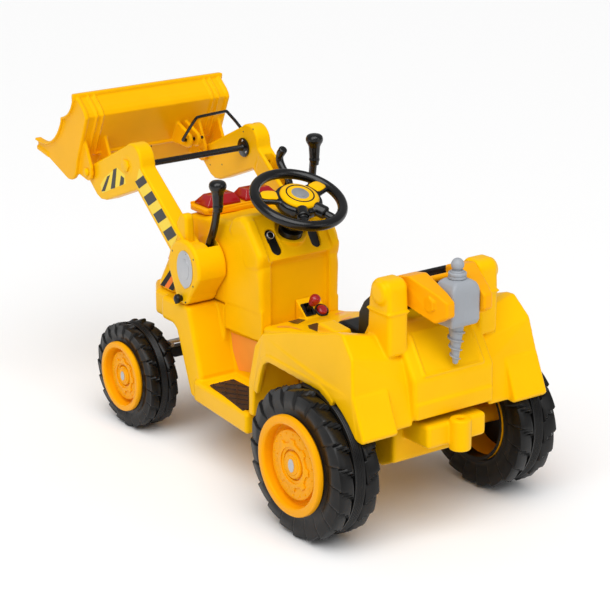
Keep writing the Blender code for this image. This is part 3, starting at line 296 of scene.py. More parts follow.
def rounded(obj, width, angle=30.0, segments=3):
    """Rounds the edges that are sharper than the angle."""
    return modify(obj, "BEVEL", width=width, segments=segments, limit_method="ANGLE",
                  angle_limit=math.radians(angle), use_clamp_overlap=True)


def combine(target, tools, operation):
    """The target after a boolean with each tool in turn; the tools are used up."""
    for tool in tools:
        modify(target, "BOOLEAN", object=tool, operation=operation, solver="MANIFOLD")
        bpy.data.objects.remove(tool, do_unlink=True)
    return target


def join(target, *tools):
    return combine(target, tools, "UNION")


def cut(target, *tools):
    return combine(target, tools, "DIFFERENCE")


def group(*pieces):
    """Several closed solids as one object."""
    bm = bmesh.new()
    for piece in pieces:
        bm.from_mesh(piece.data)
        bpy.data.objects.remove(piece, do_unlink=True)
    return solid(bm)


def moved(obj, matrix):
    obj.data.transform(matrix)
    return obj


def mirrored(obj):
    """The same solid on the other side of X = 0."""
    bm = bmesh.new()
    bm.from_mesh(obj.data)
    bm.transform(Matrix.Scale(-1.0, 4, X_AXIS))
    return solid(bm)


def sided(obj, side):
    """The solid itself on the left, side 1, or its mirror image on the right, side -1."""
    if side > 0:
        return obj
    made = mirrored(obj)
    bpy.data.objects.remove(obj, do_unlink=True)
    return made


def both(obj):
    """The solid and its mirror image."""
    return [obj, mirrored(obj)]


def moulded(obj, voxel, rounds, faces):
    """Blow-moulded plastic: one skin over the solid, with its edges and corners softly filled."""
    modify(obj, "REMESH", mode="VOXEL", voxel_size=voxel)
    modify(obj, "SMOOTH", factor=0.5, iterations=rounds)
    share = min(1.0, faces / (2 * len(obj.data.polygons)))
    return modify(obj, "DECIMATE", ratio=share)


def show(obj, name, finish, body, *nodes, sharp=38.0):
    """Puts a finished piece in the scene: its place, finish, body and the CAD nodes it stands for."""
    obj.data.transform(Matrix.Translation((0, DATUM_Y, 0)))
    obj.name = name
    obj.data.name = name
    obj.data.materials.clear()
    obj.data.materials.append(finish)
    obj.data.shade_smooth()
    obj.data.set_sharp_from_angle(angle=math.radians(sharp))
    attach(obj, body)
    if nodes:
        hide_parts(*nodes)
    return obj


def arc(centre, radius, start, end, steps):
    """Points on an arc from start to end, in degrees."""
    points = []
    for i in range(steps + 1):
        angle = math.radians(start + (end - start) * i / steps)
        points.append((centre[0] + radius * math.cos(angle), centre[1] + radius * math.sin(angle)))
    return points


def dome(origin, axis, radius, height, steps=20):
    """A screw head or bolt head: a low dome that sinks a little into what it sits on."""
    profile = [(0, height), (0.55 * radius, 0.88 * height), (0.85 * radius, 0.6 * height),
               (radius, 0.15 * height), (radius, -0.5 * height), (0, -0.5 * height)]
    return lathe(profile, origin, axis, steps)


def decal(outline, origin, across, up, lift=0.0004, depth=0.0003):
    """A thin printed label: an outline in the plane of across and up, just off the surface."""
    across = Vector(across).normalized()
    up = Vector(up).normalized()
    normal = across.cross(up).normalized()
    rings = []
    for level in (lift, lift + depth):
        rings.append([Vector(origin) + across * a + up * b + normal * level for a, b in outline])
    return loft(rings)


def shield(width, height):
    """A plain badge outline: an oval with a slightly pointed foot."""
    points = []
    for a, b in arc((0, 0), 1.0, -60.0, 240.0, 30):
        points.append((0.5 * width * a, 0.5 * height * b))
    return points + [(0.0, -0.5 * height * 1.06)]


def badge(size, origin, across, up, depth, edge):
    """A plain raised badge with rounded edges, sunk a little into what it sits on."""
    return rounded(decal(shield(*size), origin, across, up, -0.0002, depth), edge, 30, 2)


def printed_on(height, outline, levels):
    """A thin label over a surface: height is a function of X and Y, levels are the label's two faces."""
    return loft([[(x, y, height(x, y) + level) for x, y in outline] for level in levels])


# ---------------------------------------------------------------- wheels
TREAD_LUGS = 20
BAND_SHARE = 0.26           # the ribbed band in the middle, as a share of the tyre's half width
BAND_RIBS = 6
LUG_BULGE = 0.004           # how far a block stands out from the sidewall


def ramp(value, low, high):
    """0 below low, 1 above high, and a smooth rise between them."""
    share = max(0.0, min(1.0, (value - low) / (high - low)))
    return share * share * (3 - 2 * share)


def lug_height(phase):
    """How high a tread block stands, 0 to 1, over one pitch: a steep front, a falling back, a groove."""
    phase %= 1.0
    return ramp(phase, 0.0, 0.07) * (1.0 - 0.72 * phase) * (1.0 - ramp(phase, 0.96, 1.0))


def tread_half(radius, bead, outer, middle, depth):
    """(X, radius with no lug, lug's share, sideways share, phase) from the bead to the ribbed band."""
    side = 1.0 if outer > middle else -1.0
    width = abs(outer - middle)
    band = BAND_SHARE * width
    high = radius - bead
    return [
        (outer - side * 0.01, bead, 0, 0, 0.0),
        (outer - side * 0.004, bead + 0.001, 0, 0, 0.0),
        (outer - side * 0.0025, bead + 0.005, 0, 0, 0.0),
        (outer - side * 0.0045, bead + 0.01, 0, 0, 0.0),
        (outer - side * 0.0045, bead + 0.3 * high, 0, 0.25, 0.02),
        (outer - side * 0.004, bead + 0.48 * high, 0, 0.85, 0.05),
        (outer - side * 0.0045, radius - 2.2 * depth, 0.1, 1.0, 0.08),
        (outer - side * 0.0065, radius - 1.55 * depth, 0.35, 1.0, 0.12),
        (outer - side * 0.13 * width, radius - 1.2 * depth, 0.92, 0.3, 0.18),
        (outer - side * 0.2 * width, radius - 1.05 * depth, 1.0, 0, 0.22),
        (outer - side * 0.4 * width, radius - depth, 1.0, 0, 0.36),
        (outer - side * 0.6 * width, radius - depth, 1.0, 0, 0.5),
        (middle + side * (band + 0.003), radius - depth, 1.0, 0, 0.62),
        (middle + side * (band + 0.0012), radius - depth, 0.75, 0, 0.63),
        (middle + side * (band + 0.0004), radius - 0.95 * depth, 0.0, 0, 0.63),
        (middle + side * (band - 0.0004), radius - 0.95 * depth, 0.0, 0, 0.63),
        (middle + side * (band - 0.0012), radius - 0.45 * depth, 0.0, 0, 0.63),
    ]


def tyre(radius, bead, x, depth):
    """A toy tyre: slanted blocks on each side of a band of fine ribs, blocks running down the sidewall."""
    inner, outer = x
    middle = (inner + outer) / 2
    steps = TREAD_LUGS * 24
    stations = tread_half(radius, bead, outer, middle, depth)
    band = BAND_SHARE * (outer - middle) - 0.0016
    for i in range(1, 2 * BAND_RIBS):
        place = middle + band - 2 * band * i / (2 * BAND_RIBS)
        stations.append((place, radius - (0.45 if i % 2 else 0.56) * depth, 0, 0, 0.63))
    for *shape, phase in reversed(tread_half(radius, bead, inner, middle, depth)):
        stations.append((*shape, phase + 0.5))
    bm = bmesh.new()
    rows = []
    for place, reach, share, aside, phase in stations:
        outward = 1.0 if place > middle else -1.0
        row = []
        for i in range(steps):
            angle = 2 * math.pi * i / steps
            lug = lug_height(TREAD_LUGS * angle / (2 * math.pi) + phase)
            out = reach + share * lug * depth
            along = place + outward * aside * lug * LUG_BULGE
            row.append(bm.verts.new((along, out * math.sin(angle), -out * math.cos(angle))))
        rows.append(row)
    skin(rows, bm, looped=True)
    return solid(bm)


DISC_SUNK = 0.0118          # how far the disc lies behind the wheel's face
SEAT_SHARE = 0.93           # the tyre's seat, as a share of the rim's radius


def rim(radius, face, seat, inner):
    """A dished toy wheel: hub tube, disc, channel and a rolled outer flange."""
    bore = AXLE_R + 0.0004
    disc = [(0.3, 0.016), (0.31, 0.0125), (0.325, DISC_SUNK), (0.665, DISC_SUNK), (0.685, 0.0125),
            (0.695, 0.0145), (0.705, 0.0215), (0.72, 0.0225), (0.79, 0.0225), (0.808, 0.021)]
    flange = [(0.82, 0.006), (0.826, 0.0025), (0.845, 0.0006), (0.88, 0.0), (0.955, 0.0), (0.985, 0.0008),
              (1.0, 0.003)]
    back = [(radius, seat), (SEAT_SHARE * radius, seat), (SEAT_SHARE * radius, inner),
            (0.87 * radius, inner), (0.82 * radius, face - 0.03), (0.24 * radius, face - 0.03),
            (0.2 * radius, inner - 0.004)]
    front = [(share * radius, face - sunk) for share, sunk in disc + flange]
    start = (bore, face - 0.016)
    return lathe([start] + front + back + [(bore, inner - 0.004), start], steps=128)


def notched_ring(radius, base):
    """A raised ring on the wheel's disc whose outer edge has square notches."""
    teeth = 8
    inner, low, high = 0.365 * radius, 0.45 * radius, 0.53 * radius
    outline = []
    for i in range(teeth):
        for offset, reach in ((-10.54, low), (-7.5, high), (7.5, high), (10.54, low)):
            turn = math.radians(360.0 * i / teeth + offset)
            outline.append((reach * math.cos(turn), reach * math.sin(turn)))
    plate = rounded(prism(outline, (base - 0.002, base + 0.0026)), 0.0009, 30, 2)
    return cut(plate, cross_rod((0, 0), around(base, 0.01), inner, 64))


def rivets(radius, disc):
    """A circle of small domes on the wheel's disc."""
    dots = 18
    reach = 0.62 * radius
    heads = []
    for i in range(dots):
        turn = 2 * math.pi * (i + 0.5) / dots
        place = (disc, reach * math.cos(turn), reach * math.sin(turn))
        heads.append(dome(place, X_AXIS, 0.0021 * radius / 0.092, 0.0015, 12))
    return heads


def wheel_liner(radius, face, x):
    """The dark inside of the wheel, between its disc and the far side."""
    seat = SEAT_SHARE * radius
    hub = 0.26 * radius
    barrel = 0.868 * radius
    far = x[0]
    return lathe([(hub, face - 0.0305), (barrel, face - 0.0335), (barrel, far + 0.001), (seat, far + 0.0004),
                  (seat, far + 0.0016), (barrel - 0.0012, far + 0.002), (barrel - 0.0012, face - 0.0345),
                  (hub, face - 0.0315), (hub, face - 0.0305)], steps=96)


def wheel_pieces(name, side, y, radius, x, rim_radius, face):
    """Tyre, wheel, liner, cap and badge; x holds the tyre's limits and face is the wheel's outer face."""
    body = "wheel_" + name
    lift = Matrix.Translation((0, y, radius))

    def place(obj):
        return sided(moved(obj, lift), side)

    bead = SEAT_SHARE * rim_radius + 0.0008
    show(place(tyre(radius, bead, x, 0.072 * radius)), "tread_" + name, TREAD, body, "tyre_" + name)
    disc = face - DISC_SUNK
    wheel = group(rim(rim_radius, face, x[1] + 0.0004, x[0] + 0.002), notched_ring(rim_radius, disc),
                  *rivets(rim_radius, disc))
    show(place(wheel), "wheel_disc_" + name, AMBER, body, "rim_" + name)
    show(place(wheel_liner(rim_radius, face, x)), "wheel_inside_" + name, TREAD, body)
    cap_r = 0.27 * rim_radius
    base = face - 0.0156
    cap = [(0, 0.0075), (0.5, 0.0074), (0.68, 0.007), (0.72, 0.0058), (0.8, 0.0058), (0.86, 0.0064),
           (0.95, 0.0058), (1, 0.0042), (1, 0), (0, 0)]
    cap = lathe([(share * cap_r, base + rise) for share, rise in cap])
    show(place(cap), "cap_" + name, AMBER, body, "hub_cap_" + name)
    outline = shield(0.68 * cap_r, 0.98 * cap_r)
    emblem = decal(outline, (base + 0.0073, 0, 0), Y_AXIS, Z_AXIS, 0.0003, 0.0005)
    show(place(emblem), "cap_badge_" + name, SILVER, body)


def make_wheels():
    for name, side in SIDES:
        wheel_pieces("rear_" + name, side, *REAR_AXLE, (0.156, 0.25), 0.092, 0.2605)
        wheel_pieces("front_" + name, side, *FRONT_AXLE, (0.144, 0.212), 0.0706, 0.2205)


# ---------------------------------------------------------------- lower body
def leg_shield():
    """The upright board between the front wheel and the rider's foot."""
    outline = [(-0.459, 0.108), (-0.42, 0.108), (-0.42, 0.16), (-0.462, 0.288), (-0.56, 0.288),
               (-0.56, 0.24), (-0.52, 0.24), (-0.507, 0.232)]
    return rounded(prism(outline, (0.06, 0.166)), 0.01, segments=4)


def footboard():
    outline = [(0.06, -0.437), (0.174, -0.437), (0.193, -0.226), (0.06, -0.226)]
    board = rounded(slab(outline, (0.108, FLOOR_Z)), 0.007)
    well = [(0.096, -0.404), (0.1655, -0.404), (0.1825, -0.2), (0.096, -0.2)]
    return cut(board, rounded(slab(well, (FLOOR_Z - 0.0022, 0.17)), 0.0015))


def hull_tub():
    """The hull's box, with three long grooves along each side."""
    outline = [(-0.437, 0.112), (0.04, 0.112), (0.075, 0.128), (0.075, 0.2396), (-0.437, 0.2396)]
    tub = rounded(prism(outline, (-HULL_X, HULL_X)), 0.006)
    tools = []
    for side in (-1, 1):
        for height in (0.176, 0.196, 0.216):
            tools.append(block(one_side(side, 0.0828, 0.09), (-0.205, 0.05), (height, height + 0.006)))
    return cut(tub, *tools)


def nose():
    half = [(0.0, -0.66), (0.118, -0.655), (0.152, -0.6), (0.157, -0.48), (0.0, -0.48)]
    shelf = rounded(slab(symmetric(half), (0.236, 0.288)), 0.008, segments=4)
    slots = [block(around(0.022 * i, 0.0085), (-0.67, -0.6535), (0.249, 0.275)) for i in range(-3, 4)]
    return cut(shelf, *[rounded(slot, 0.003) for slot in slots])


def tow_hitch():
    seat = rounded(block((-0.066, 0.066), (0.06, 0.148), (0.172, 0.2155)), 0.007)
    boss = rounded(rod((0, 0.155, 0.163), (0, 0.155, 0.221), 0.02, steps=48), 0.003)
    return join(seat, boss)


def make_lower_body():
    """The hull as one hollow moulding, with the room its axle, column, battery and drive need."""
    body = join(hull_tub(), *both(footboard()), *both(leg_shield()), nose(), tow_hitch(),
                block((-0.03, 0.03), (-0.655, -0.616), (0.1464, 0.25)),
                *both(block((0.0605, 0.099), (-0.463, -0.4372), (0.2, 0.2875))))
    body = cut(body, block((-0.08, 0.08), (-0.432, 0.07), (0.117, 0.3)))
    under_board = block((0.09, 0.168), (-0.414, -0.232), (0.09, FLOOR_Z - 0.005))
    shield_hollow = prism([(-0.47, 0.125), (-0.428, 0.09), (-0.428, 0.165), (-0.466, 0.276), (-0.55, 0.276),
                           (-0.55, 0.2), (-0.515, 0.227)], (0.09, 0.158))
    nose_hollow = slab([(-0.11, -0.612), (0.11, -0.612), (0.146, -0.594), (0.15, -0.49), (-0.15, -0.49),
                        (-0.146, -0.594)], (0.2, 0.282))
    body = cut(body, *both(under_board), *both(shield_hollow), nose_hollow,
               block((-0.05, 0.05), (-0.6, -0.445), (0.2, 0.32)),
               cross_rod(REAR_AXLE, (-0.2, 0.2), AXLE_R + 0.001),
               rod((0, 0.155, 0.1), (0, 0.155, 0.3), 0.0062),
               rod(along_column(-0.34), along_column(-0.25), 0.0076))
    for y in (-0.38, -0.33, -0.07, -0.02):
        body = join(body, block((-0.06, 0.06), around(y, 0.002), (0.1105, 0.1135)))
    show(moulded(body, VOXEL, 4, 150000), "hull", YELLOW, "chassis", "lower_body")
    screws = []
    for x in (-0.06, 0.06):
        for y in (-0.415, -0.3, -0.1, 0.02):
            screws.append(dome((x, y, 0.1118), -Z_AXIS, 0.0042, 0.0016, 24))
    show(group(*screws), "belly_screws", STEEL, "chassis")


def tread_bar(start, end):
    """One raised bar of the mats' tread, narrower at its top."""
    across = (end - start).cross(Z_AXIS).normalized() * 0.0013
    rise = Vector((0, 0, 0.0022))
    rings = []
    for place in (start, end):
        top = place + rise
        rings.append([place - across, place + across, top + across * 0.6, top - across * 0.6])
    return loft(rings)


def diamond_tread():
    """Bars that cross each other over the mat, cut off along its border."""
    inside = [(0.112, -0.39), (0.1595, -0.39), (0.1825, -0.25), (0.112, -0.25)]
    pitch = 0.026
    bars = []
    for way in (-1, 1):
        reach = Vector((0.055 * way, 0.085, 0))
        for i in range(-9, 10):
            middle = Vector((0.15 + pitch * i, -0.32, FLOOR_Z + 0.001))
            bar = tread_bar(middle - reach, middle + reach)
            bars.append(combine(bar, [slab(inside, (FLOOR_Z, FLOOR_Z + 0.01))], "INTERSECT"))
    return bars


def make_floor_mats():
    """Brown mats with a raised diamond tread, and above each a peach label on the hull's side."""
    outline = [(0.108, -0.394), (0.163, -0.394), (0.187, -0.246), (0.108, -0.246)]
    label = [(-0.104, 0.02), (-0.01, 0.026), (-0.015, 0.01), (-0.033, -0.042), (-0.078, -0.05),
             (-0.098, -0.015)]
    for name, side in SIDES:
        mat = rounded(slab(outline, (FLOOR_Z - 0.001, FLOOR_Z + 0.0012)), 0.006, 60, 4)
        show(sided(group(mat, *diamond_tread()), side), "mat_" + name, BROWN, "chassis", "foot_mat_" + name)
        sticker = decal(label, (HULL_X, -0.33, 0.21), Y_AXIS, Z_AXIS)
        show(sided(sticker, side), "hull_label_" + name, VINYL_PEACH, "chassis")


# ---------------------------------------------------------------- front body
def steer_axis():
    return Vector((0.0, math.sin(STEER_TILT), math.cos(STEER_TILT)))


def along_column(distance):
    """A point on the steering column, measured up from the middle of the steering wheel."""
    return on_side(STEER_CENTRE, 0.0) + distance * steer_axis()


# Y, half widths at the base, at the waist and at the top, then the heights of the waist and the top
HOOD = [
    (-0.645, 0.108, 0.1, 0.086, 0.31, 0.325),
    (-0.612, 0.14, 0.116, 0.092, 0.334, 0.385),
    (-0.585, 0.146, 0.1165, 0.094, 0.336, 0.432),
    (-0.552, 0.146, 0.113, 0.092, 0.336, 0.443),
    (-0.536, 0.0998, 0.0998, 0.092, 0.385, 0.443),
    (-0.43, 0.0998, 0.099, 0.09, 0.4, 0.455),
    (-0.38, 0.095, 0.0955, 0.09, 0.43, 0.472),
    (-0.3225, 0.091, 0.093, 0.09, 0.36, 0.385),
]
HOOD_INSIDE = [
    (-0.606, 0.128, 0.104, 0.078, 0.322, 0.368),
    (-0.582, 0.134, 0.106, 0.084, 0.326, 0.424),
    (-0.556, 0.134, 0.103, 0.084, 0.326, 0.436),
    (-0.541, 0.092, 0.092, 0.084, 0.38, 0.436),
    (-0.43, 0.092, 0.091, 0.08, 0.39, 0.447),
    (-0.386, 0.086, 0.084, 0.066, 0.38, 0.44),
    (-0.352, 0.082, 0.078, 0.06, 0.33, 0.366),
]


def hood_loft(rows, base):
    """A hood through the rows: straight sides up to the waist, then sloping in to a slightly raised top."""
    rings = []
    for y, base_half, waist_half, top_half, waist, top in rows:
        half = [(0.0, base), (base_half, base), (waist_half, waist), (top_half, top), (0.0, top + 0.003)]
        rings.append([(x, y, z) for x, z in symmetric(half)])
    return loft(rings)


SLOT_NORMAL = Vector((0, 0.8, 0.6))


def slot_ends(side):
    """The lower and the upper end of a dash slot's middle line."""
    return Vector((0.0455 * side, -0.3375, 0.4132)), Vector((0.048 * side, -0.356, 0.438))


def dash_slot(side, radius, deep, proud):
    """A long bar with round ends, square to the sunk panel of the dash."""
    low, high = slot_ends(side)
    run = (high - low).normalized()
    across = run.cross(SLOT_NORMAL).normalized()
    outline = []
    for centre, start in ((low, 180.0), (high, 0.0)):
        for a, b in arc((0, 0), radius, start, start + 180.0, 12):
            outline.append(centre + across * a + run * b)
    return loft([[p + SLOT_NORMAL * level for p in outline] for level in (deep, proud)])


def marker_block(grow, inner, outer):
    """A reflector on the hood, or its pocket; inner and outer are measured from the slope there."""
    front, rear = -0.612 - grow, -0.588 + grow
    low, high = 0.34 - grow, 0.372 + grow
    slope = ((front, low, 0.1132), (rear, low, 0.116), (rear, high, 0.1075), (front, high, 0.0981))
    return loft([[(x + out, y, z) for y, z, x in slope] for out in (inner, outer)])


def make_front_body():
    """Hood, dash and steering cone as one hollow moulding, then what is printed or set on it."""
    hood = rounded(hood_loft(HOOD, 0.2885), 0.009, 20, 4)
    half = [(0.0, -0.4365), (0.0985, -0.4365), (0.0945, -0.38), (0.0905, -0.3225), (0.0, -0.3225)]
    cowl = slab(symmetric(half), (SEAM_Z + 0.0004, 0.302))
    head = rounded(prism([(-0.43, 0.44), (-0.415, 0.466), (-0.385, 0.477), (-0.366, 0.468), (-0.32, 0.408),
                          (-0.326, 0.38), (-0.37, 0.37)], (-0.0955, 0.0955)), 0.01, segments=4)
    recess = prism([(-0.377, 0.47), (-0.314, 0.387), (-0.29, 0.4), (-0.35, 0.51)], (-0.074, 0.074))
    knee = prism([(-0.332, 0.255), (-0.332, 0.385), (-0.321, 0.401), (-0.28, 0.401), (-0.28, 0.255)],
                 (-0.067, 0.067))
    tray_seat = block((-0.094, 0.094), (-0.5735, -0.4965), (0.4471, 0.47))
    body = cut(join(hood, head), rounded(recess, 0.004), tray_seat)
    cone = rod(along_column(-0.15), along_column(-0.0776), 0.022, 0.031, 48)
    body = join(body, cone, dash_slot(1, 0.015, -0.004, 0.0022), dash_slot(-1, 0.015, -0.004, 0.0022))
    body = join(cut(body, hood_loft(HOOD_INSIDE, 0.2)), cowl)
    body = cut(body, rounded(knee, 0.004), block((-0.083, 0.083), (-0.4315, -0.35), (0.2, 0.31)),
               dash_slot(1, 0.0112, -0.006, 0.012), dash_slot(-1, 0.0112, -0.006, 0.012),
               rod(along_column(-0.0776), along_column(-0.02), 0.0325, steps=48),
               rod(along_column(-0.3), along_column(-0.03), 0.0078),
               cross_rod(ARM_PIVOT, (-0.2, 0.2), AXLE_R + 0.0012),
               *both(marker_block(0.0004, -0.0035, 0.03)), *hood_seams())
    show(moulded(body, VOXEL, 4, 130000), "hood_and_dash", YELLOW, "chassis", "front_body")
    make_hood_bars()
    grille = [rounded(block(around(0.014 * i, 0.0032), (-0.6475, -0.644), (0.296, 0.318)), 0.001)
              for i in range(-5, 6)]
    show(group(*grille), "nose_grille", BLACK, "chassis")


def hood_seams():
    """Grooves where the dash meets the hood, and across the hood's front edge."""
    seams = []
    for side in (-1, 1):
        path = [(side * 0.099, -0.432, 0.295), (side * 0.0985, -0.432, 0.4), (side * 0.089, -0.432, 0.452)]
        seams.append(tube(path, 0.0012, 8, 1))
    seams.append(tube([(-0.105, -0.6125, 0.3885), (0.105, -0.6125, 0.3885)], 0.0016, 8, 0))
    return seams


def make_hood_bars():
    """Slanted printed bars low on each side of the hood."""
    for name, side in SIDES:
        for step, finish in enumerate((VINYL_DARK, VINYL_ORANGE, VINYL_DARK)):
            start = -0.596 + 0.015 * step
            outline = [(start, 0.295, 0.1425), (start + 0.015, 0.295, 0.1425),
                       (start + 0.021, 0.327, 0.1205), (start + 0.006, 0.327, 0.1205)]
            bar = loft([[(x + out, y, z) for y, z, x in outline] for out in (0.0005, 0.0011)])
            show(sided(bar, side), "hood_bar_%s_%d" % (name, step), finish, "chassis")


def make_dash_plates():
    for name, side in SIDES:
        plate = dash_slot(side, 0.0106, -0.0055, -0.0015)
        if side > 0:
            low, high = slot_ends(1)
            base = high - (high - low).normalized() * 0.001
            depth = SLOT_NORMAL * 0.008
            plate = cut(plate, rod(base - depth, base + depth, 0.0079, steps=48))
            button = lathe([(0, 0.003), (0.004, 0.0031), (0.0056, 0.0026), (0.0058, -0.002), (0, -0.002)],
                           base, SLOT_NORMAL, 48)
            show(button, "start_cap", BLACK, "start_button", "start_button")
            ring = lathe([(0.0061, 0.001), (0.0063, 0.0033), (0.0069, 0.0036), (0.0075, 0.003),
                          (0.0077, -0.003), (0.0061, -0.003), (0.0061, 0.001)], base, SLOT_NORMAL, 48)
            show(ring, "start_ring", SILVER, "start_button")
        show(rounded(plate, 0.0008, 40, 2), "slot_insert_" + name, BLACK, "chassis", "dash_plate_" + name)


def make_lights():
    half = [(0.0, -0.572), (0.086, -0.57), (0.092, -0.562), (0.092, -0.512), (0.08, -0.502), (0.0, -0.498)]
    tray = rounded(slab(symmetric(half), (0.4475, 0.459)), 0.0035, segments=4)
    rim_bars = [rounded(block((-0.088, 0.088), around(y, 0.0025), (0.456, 0.4625)), 0.0018)
                for y in (-0.567, -0.503)]
    show(group(tray, *rim_bars), "beacon_tray", AMBER, "chassis", "light_tray")
    for name, side in SIDES:
        base = 0.4592
        rings = []
        for shrink, high in ((0.0, 0.0), (0.0, 0.005), (0.0105, 0.0195)):
            inner, outer = 0.006 + shrink * 0.8, 0.082 - shrink * 1.3
            front, rear = -0.562 + shrink, -0.514 - shrink
            rings.append([(x, y, base + high) for x, y in
                          ((inner, front), (outer, front), (outer, rear), (inner, rear))])
        lens = rounded(loft(rings), 0.0012, 15, 3)
        facets = [rounded(block(around(x, 0.0006), (-0.548, -0.528), (0.4777, 0.4791)), 0.0003)
                  for x in (0.026, 0.034, 0.042, 0.05, 0.058)]
        beacon = sided(group(lens, *facets), side)
        show(beacon, "beacon_" + name, RED, "chassis", "beacon_lens_" + name, sharp=20.0)
        marker = rounded(marker_block(0.0, -0.003, 0.002), 0.001)
        show(sided(marker, side), "marker_" + name, ORANGE, "chassis", "side_marker_" + name)


# ---------------------------------------------------------------- loader pivots
BADGE = (-0.469, 0.3635)
LOCK_KNOB = (-0.484, 0.302)
ELBOW_BOSS = (-0.695, 0.518)
FOREARM_BARS = (
    ((-0.7945, 0.443), (-0.7808, 0.4467), (-0.7591, 0.4846), (-0.769, 0.48)),
    ((-0.7576, 0.4561), (-0.741, 0.4618), (-0.7323, 0.505), (-0.7449, 0.499)),
    ((-0.723, 0.47), (-0.707, 0.477), (-0.704, 0.49), (-0.716, 0.493)),
)


def teardrop():
    """The outline of the arm housing: a large circle with a small one hung below it."""
    top = arc(ARM_PIVOT, 0.055, -14.0, 194.0, 40)
    return top + arc((ARM_PIVOT[0] - 0.006, 0.317), 0.028, 194.0, 346.0, 18)


def axle_bar(point, half):
    """A steel axle across the digger with bevelled ends, half its length on each side."""
    end = [(0, half), (AXLE_R - 0.0006, half), (AXLE_R, half - 0.0008)]
    return lathe([(radius, -height) for radius, height in end] + end[::-1], on_side(point, 0.0))


def make_pivot_housings():
    for name, side in SIDES:
        shell = rounded(prism(teardrop(), (0.1005, 0.1662)), 0.0065, 30, 4)
        room = arc(ARM_PIVOT, 0.0475, 222.0, 410.0, 24) + arc(ARM_PIVOT, 0.085, 58.0, 214.0, 8)
        middle = on_side(ARM_PIVOT, 0.0)
        step = washer((0.049, 0.05), (0.164, 0.168), middle)
        seam = washer((0.054, 0.057), (0.1315, 0.133), middle)
        shell = cut(shell, prism(room, (0.105, 0.1565)), step, seam,
                    cross_rod(ARM_PIVOT, (0.09, 0.11), AXLE_R + 0.001),
                    cross_rod(LOCK_KNOB, (0.15, 0.18), 0.0046))
        shell = moulded(shell, FINE_VOXEL, 2, 60000)
        show(sided(shell, side), "pivot_cover_" + name, YELLOW, "chassis", "pivot_housing_" + name)
        knob = lathe([(0, 0.1812), (0.0035, 0.181), (0.006, 0.1802), (0.0078, 0.1785), (0.0085, 0.176),
                      (0.0083, 0.1735), (0.0074, 0.171), (0.0062, 0.1695), (0.0062, 0.168), (0.004, 0.1674),
                      (0.004, 0.158), (0, 0.158)], on_side(LOCK_KNOB, 0.0), steps=48)
        wing = rounded(block((0.17, 0.1805), (-0.4865, -0.4815), (0.2925, 0.3115)), 0.002)
        node_name = "lock_knob_" + name
        show(sided(group(knob, wing), side), "lock_" + name, BLACK, node_name, node_name)
        plate = badge((0.054, 0.074), on_side(BADGE, 0.1664), Y_AXIS, Z_AXIS, 0.0014, 0.0005)
        inner = badge((0.032, 0.042), on_side(BADGE, 0.1675), Y_AXIS, Z_AXIS, 0.001, 0.0004)
        show(sided(group(plate, inner), side), "pivot_badge_" + name, SILVER, "chassis")
        heads = []
        for angle, reach in ((35, 0.045), (145, 0.045), (-40, 0.044)):
            y, z = arc(ARM_PIVOT, reach, angle, angle, 1)[0]
            heads.append(dome((0.166, y, z), X_AXIS, 0.002, 0.0006))
        heads.append(dome((0.166, -0.47, 0.2965), X_AXIS, 0.002, 0.0006))
        show(sided(group(*heads), side), "pivot_screws_" + name, VINYL_DARK, "chassis")
    show(axle_bar(ARM_PIVOT, 0.1558), "arm_axle", STEEL, "chassis", "arm_pivot_shaft")


# ---------------------------------------------------------------- loader
def arm_outline():
    """The bent arm from its elbow back to the pivot and down to the bucket, in (Y, Z)."""
    elbow = arc((ARM_ELBOW[0], ARM_ELBOW[1] - 0.006), 0.034, 132.0, 12.0, 24)
    return elbow + [
        (-0.6385, 0.5225), (-0.508, 0.424), (-0.452, 0.384), (-0.44, 0.364), (-0.452, 0.336),
        (-0.476, 0.322), (-0.5, 0.336), (-0.535, 0.376), (-0.659, 0.476),
        (-0.78, 0.4275), (-0.8, 0.4255), (-0.815, 0.431), (-0.848, 0.458),
    ] + arc(BUCKET_PIVOT, 0.014, 230.0, 90.0, 8)


def stripe_run(start, end, half, lean, spans, x):
    """Printed bars across a strip from start to end on an outer face; spans are shares of its length."""
    start = Vector(start)
    along = Vector(end) - start
    across = Vector((-along.y, along.x)).normalized() * half
    slant = along.normalized() * lean
    bars = []
    for first, last in spans:
        corners = [start + along * first + across + slant, start + along * last + across + slant,
                   start + along * last - across - slant, start + along * first - across - slant]
        bars.append(prism([tuple(p) for p in corners], (x, x + 0.0004)))
    return bars


def tilt_gear_room():
    """The slot and the pocket that the tilt rod, its handle and the handle's pin need in the right arm."""
    rod_slot = prism([(-0.79, 0.6), (-0.79, 0.5), (-0.735, 0.492), (-0.705, 0.483), (-0.674, 0.483),
                      (-0.6, 0.455), (-0.575, 0.452), (-0.6, 0.475), (-0.655, 0.52), (-0.668, 0.548),
                      (-0.69, 0.6)], (0.1335, 0.1425))
    lever_pocket = prism([(-0.626, 0.47), (-0.56, 0.415), (-0.505, 0.437), (-0.515, 0.47),
                          (-0.56, 0.51), (-0.626, 0.54)], (0.128, 0.148))
    return rod_slot, lever_pocket, cross_rod(TILT_LEVER_PIVOT, (0.125, 0.15), 0.0048)


def panel_groove():
    """A groove round a panel on the arm's inner face."""
    panel = [(-0.64, 0.508), (-0.526, 0.42), (-0.546, 0.396), (-0.652, 0.481)]
    middle = Vector((sum(y for y, _ in panel), sum(z for _, z in panel))) / len(panel)
    core = [tuple(middle + (Vector(corner) - middle) * 0.9) for corner in panel]
    return cut(prism(panel, (0.119, 0.1212)), prism(core, (0.118, 0.1222)))


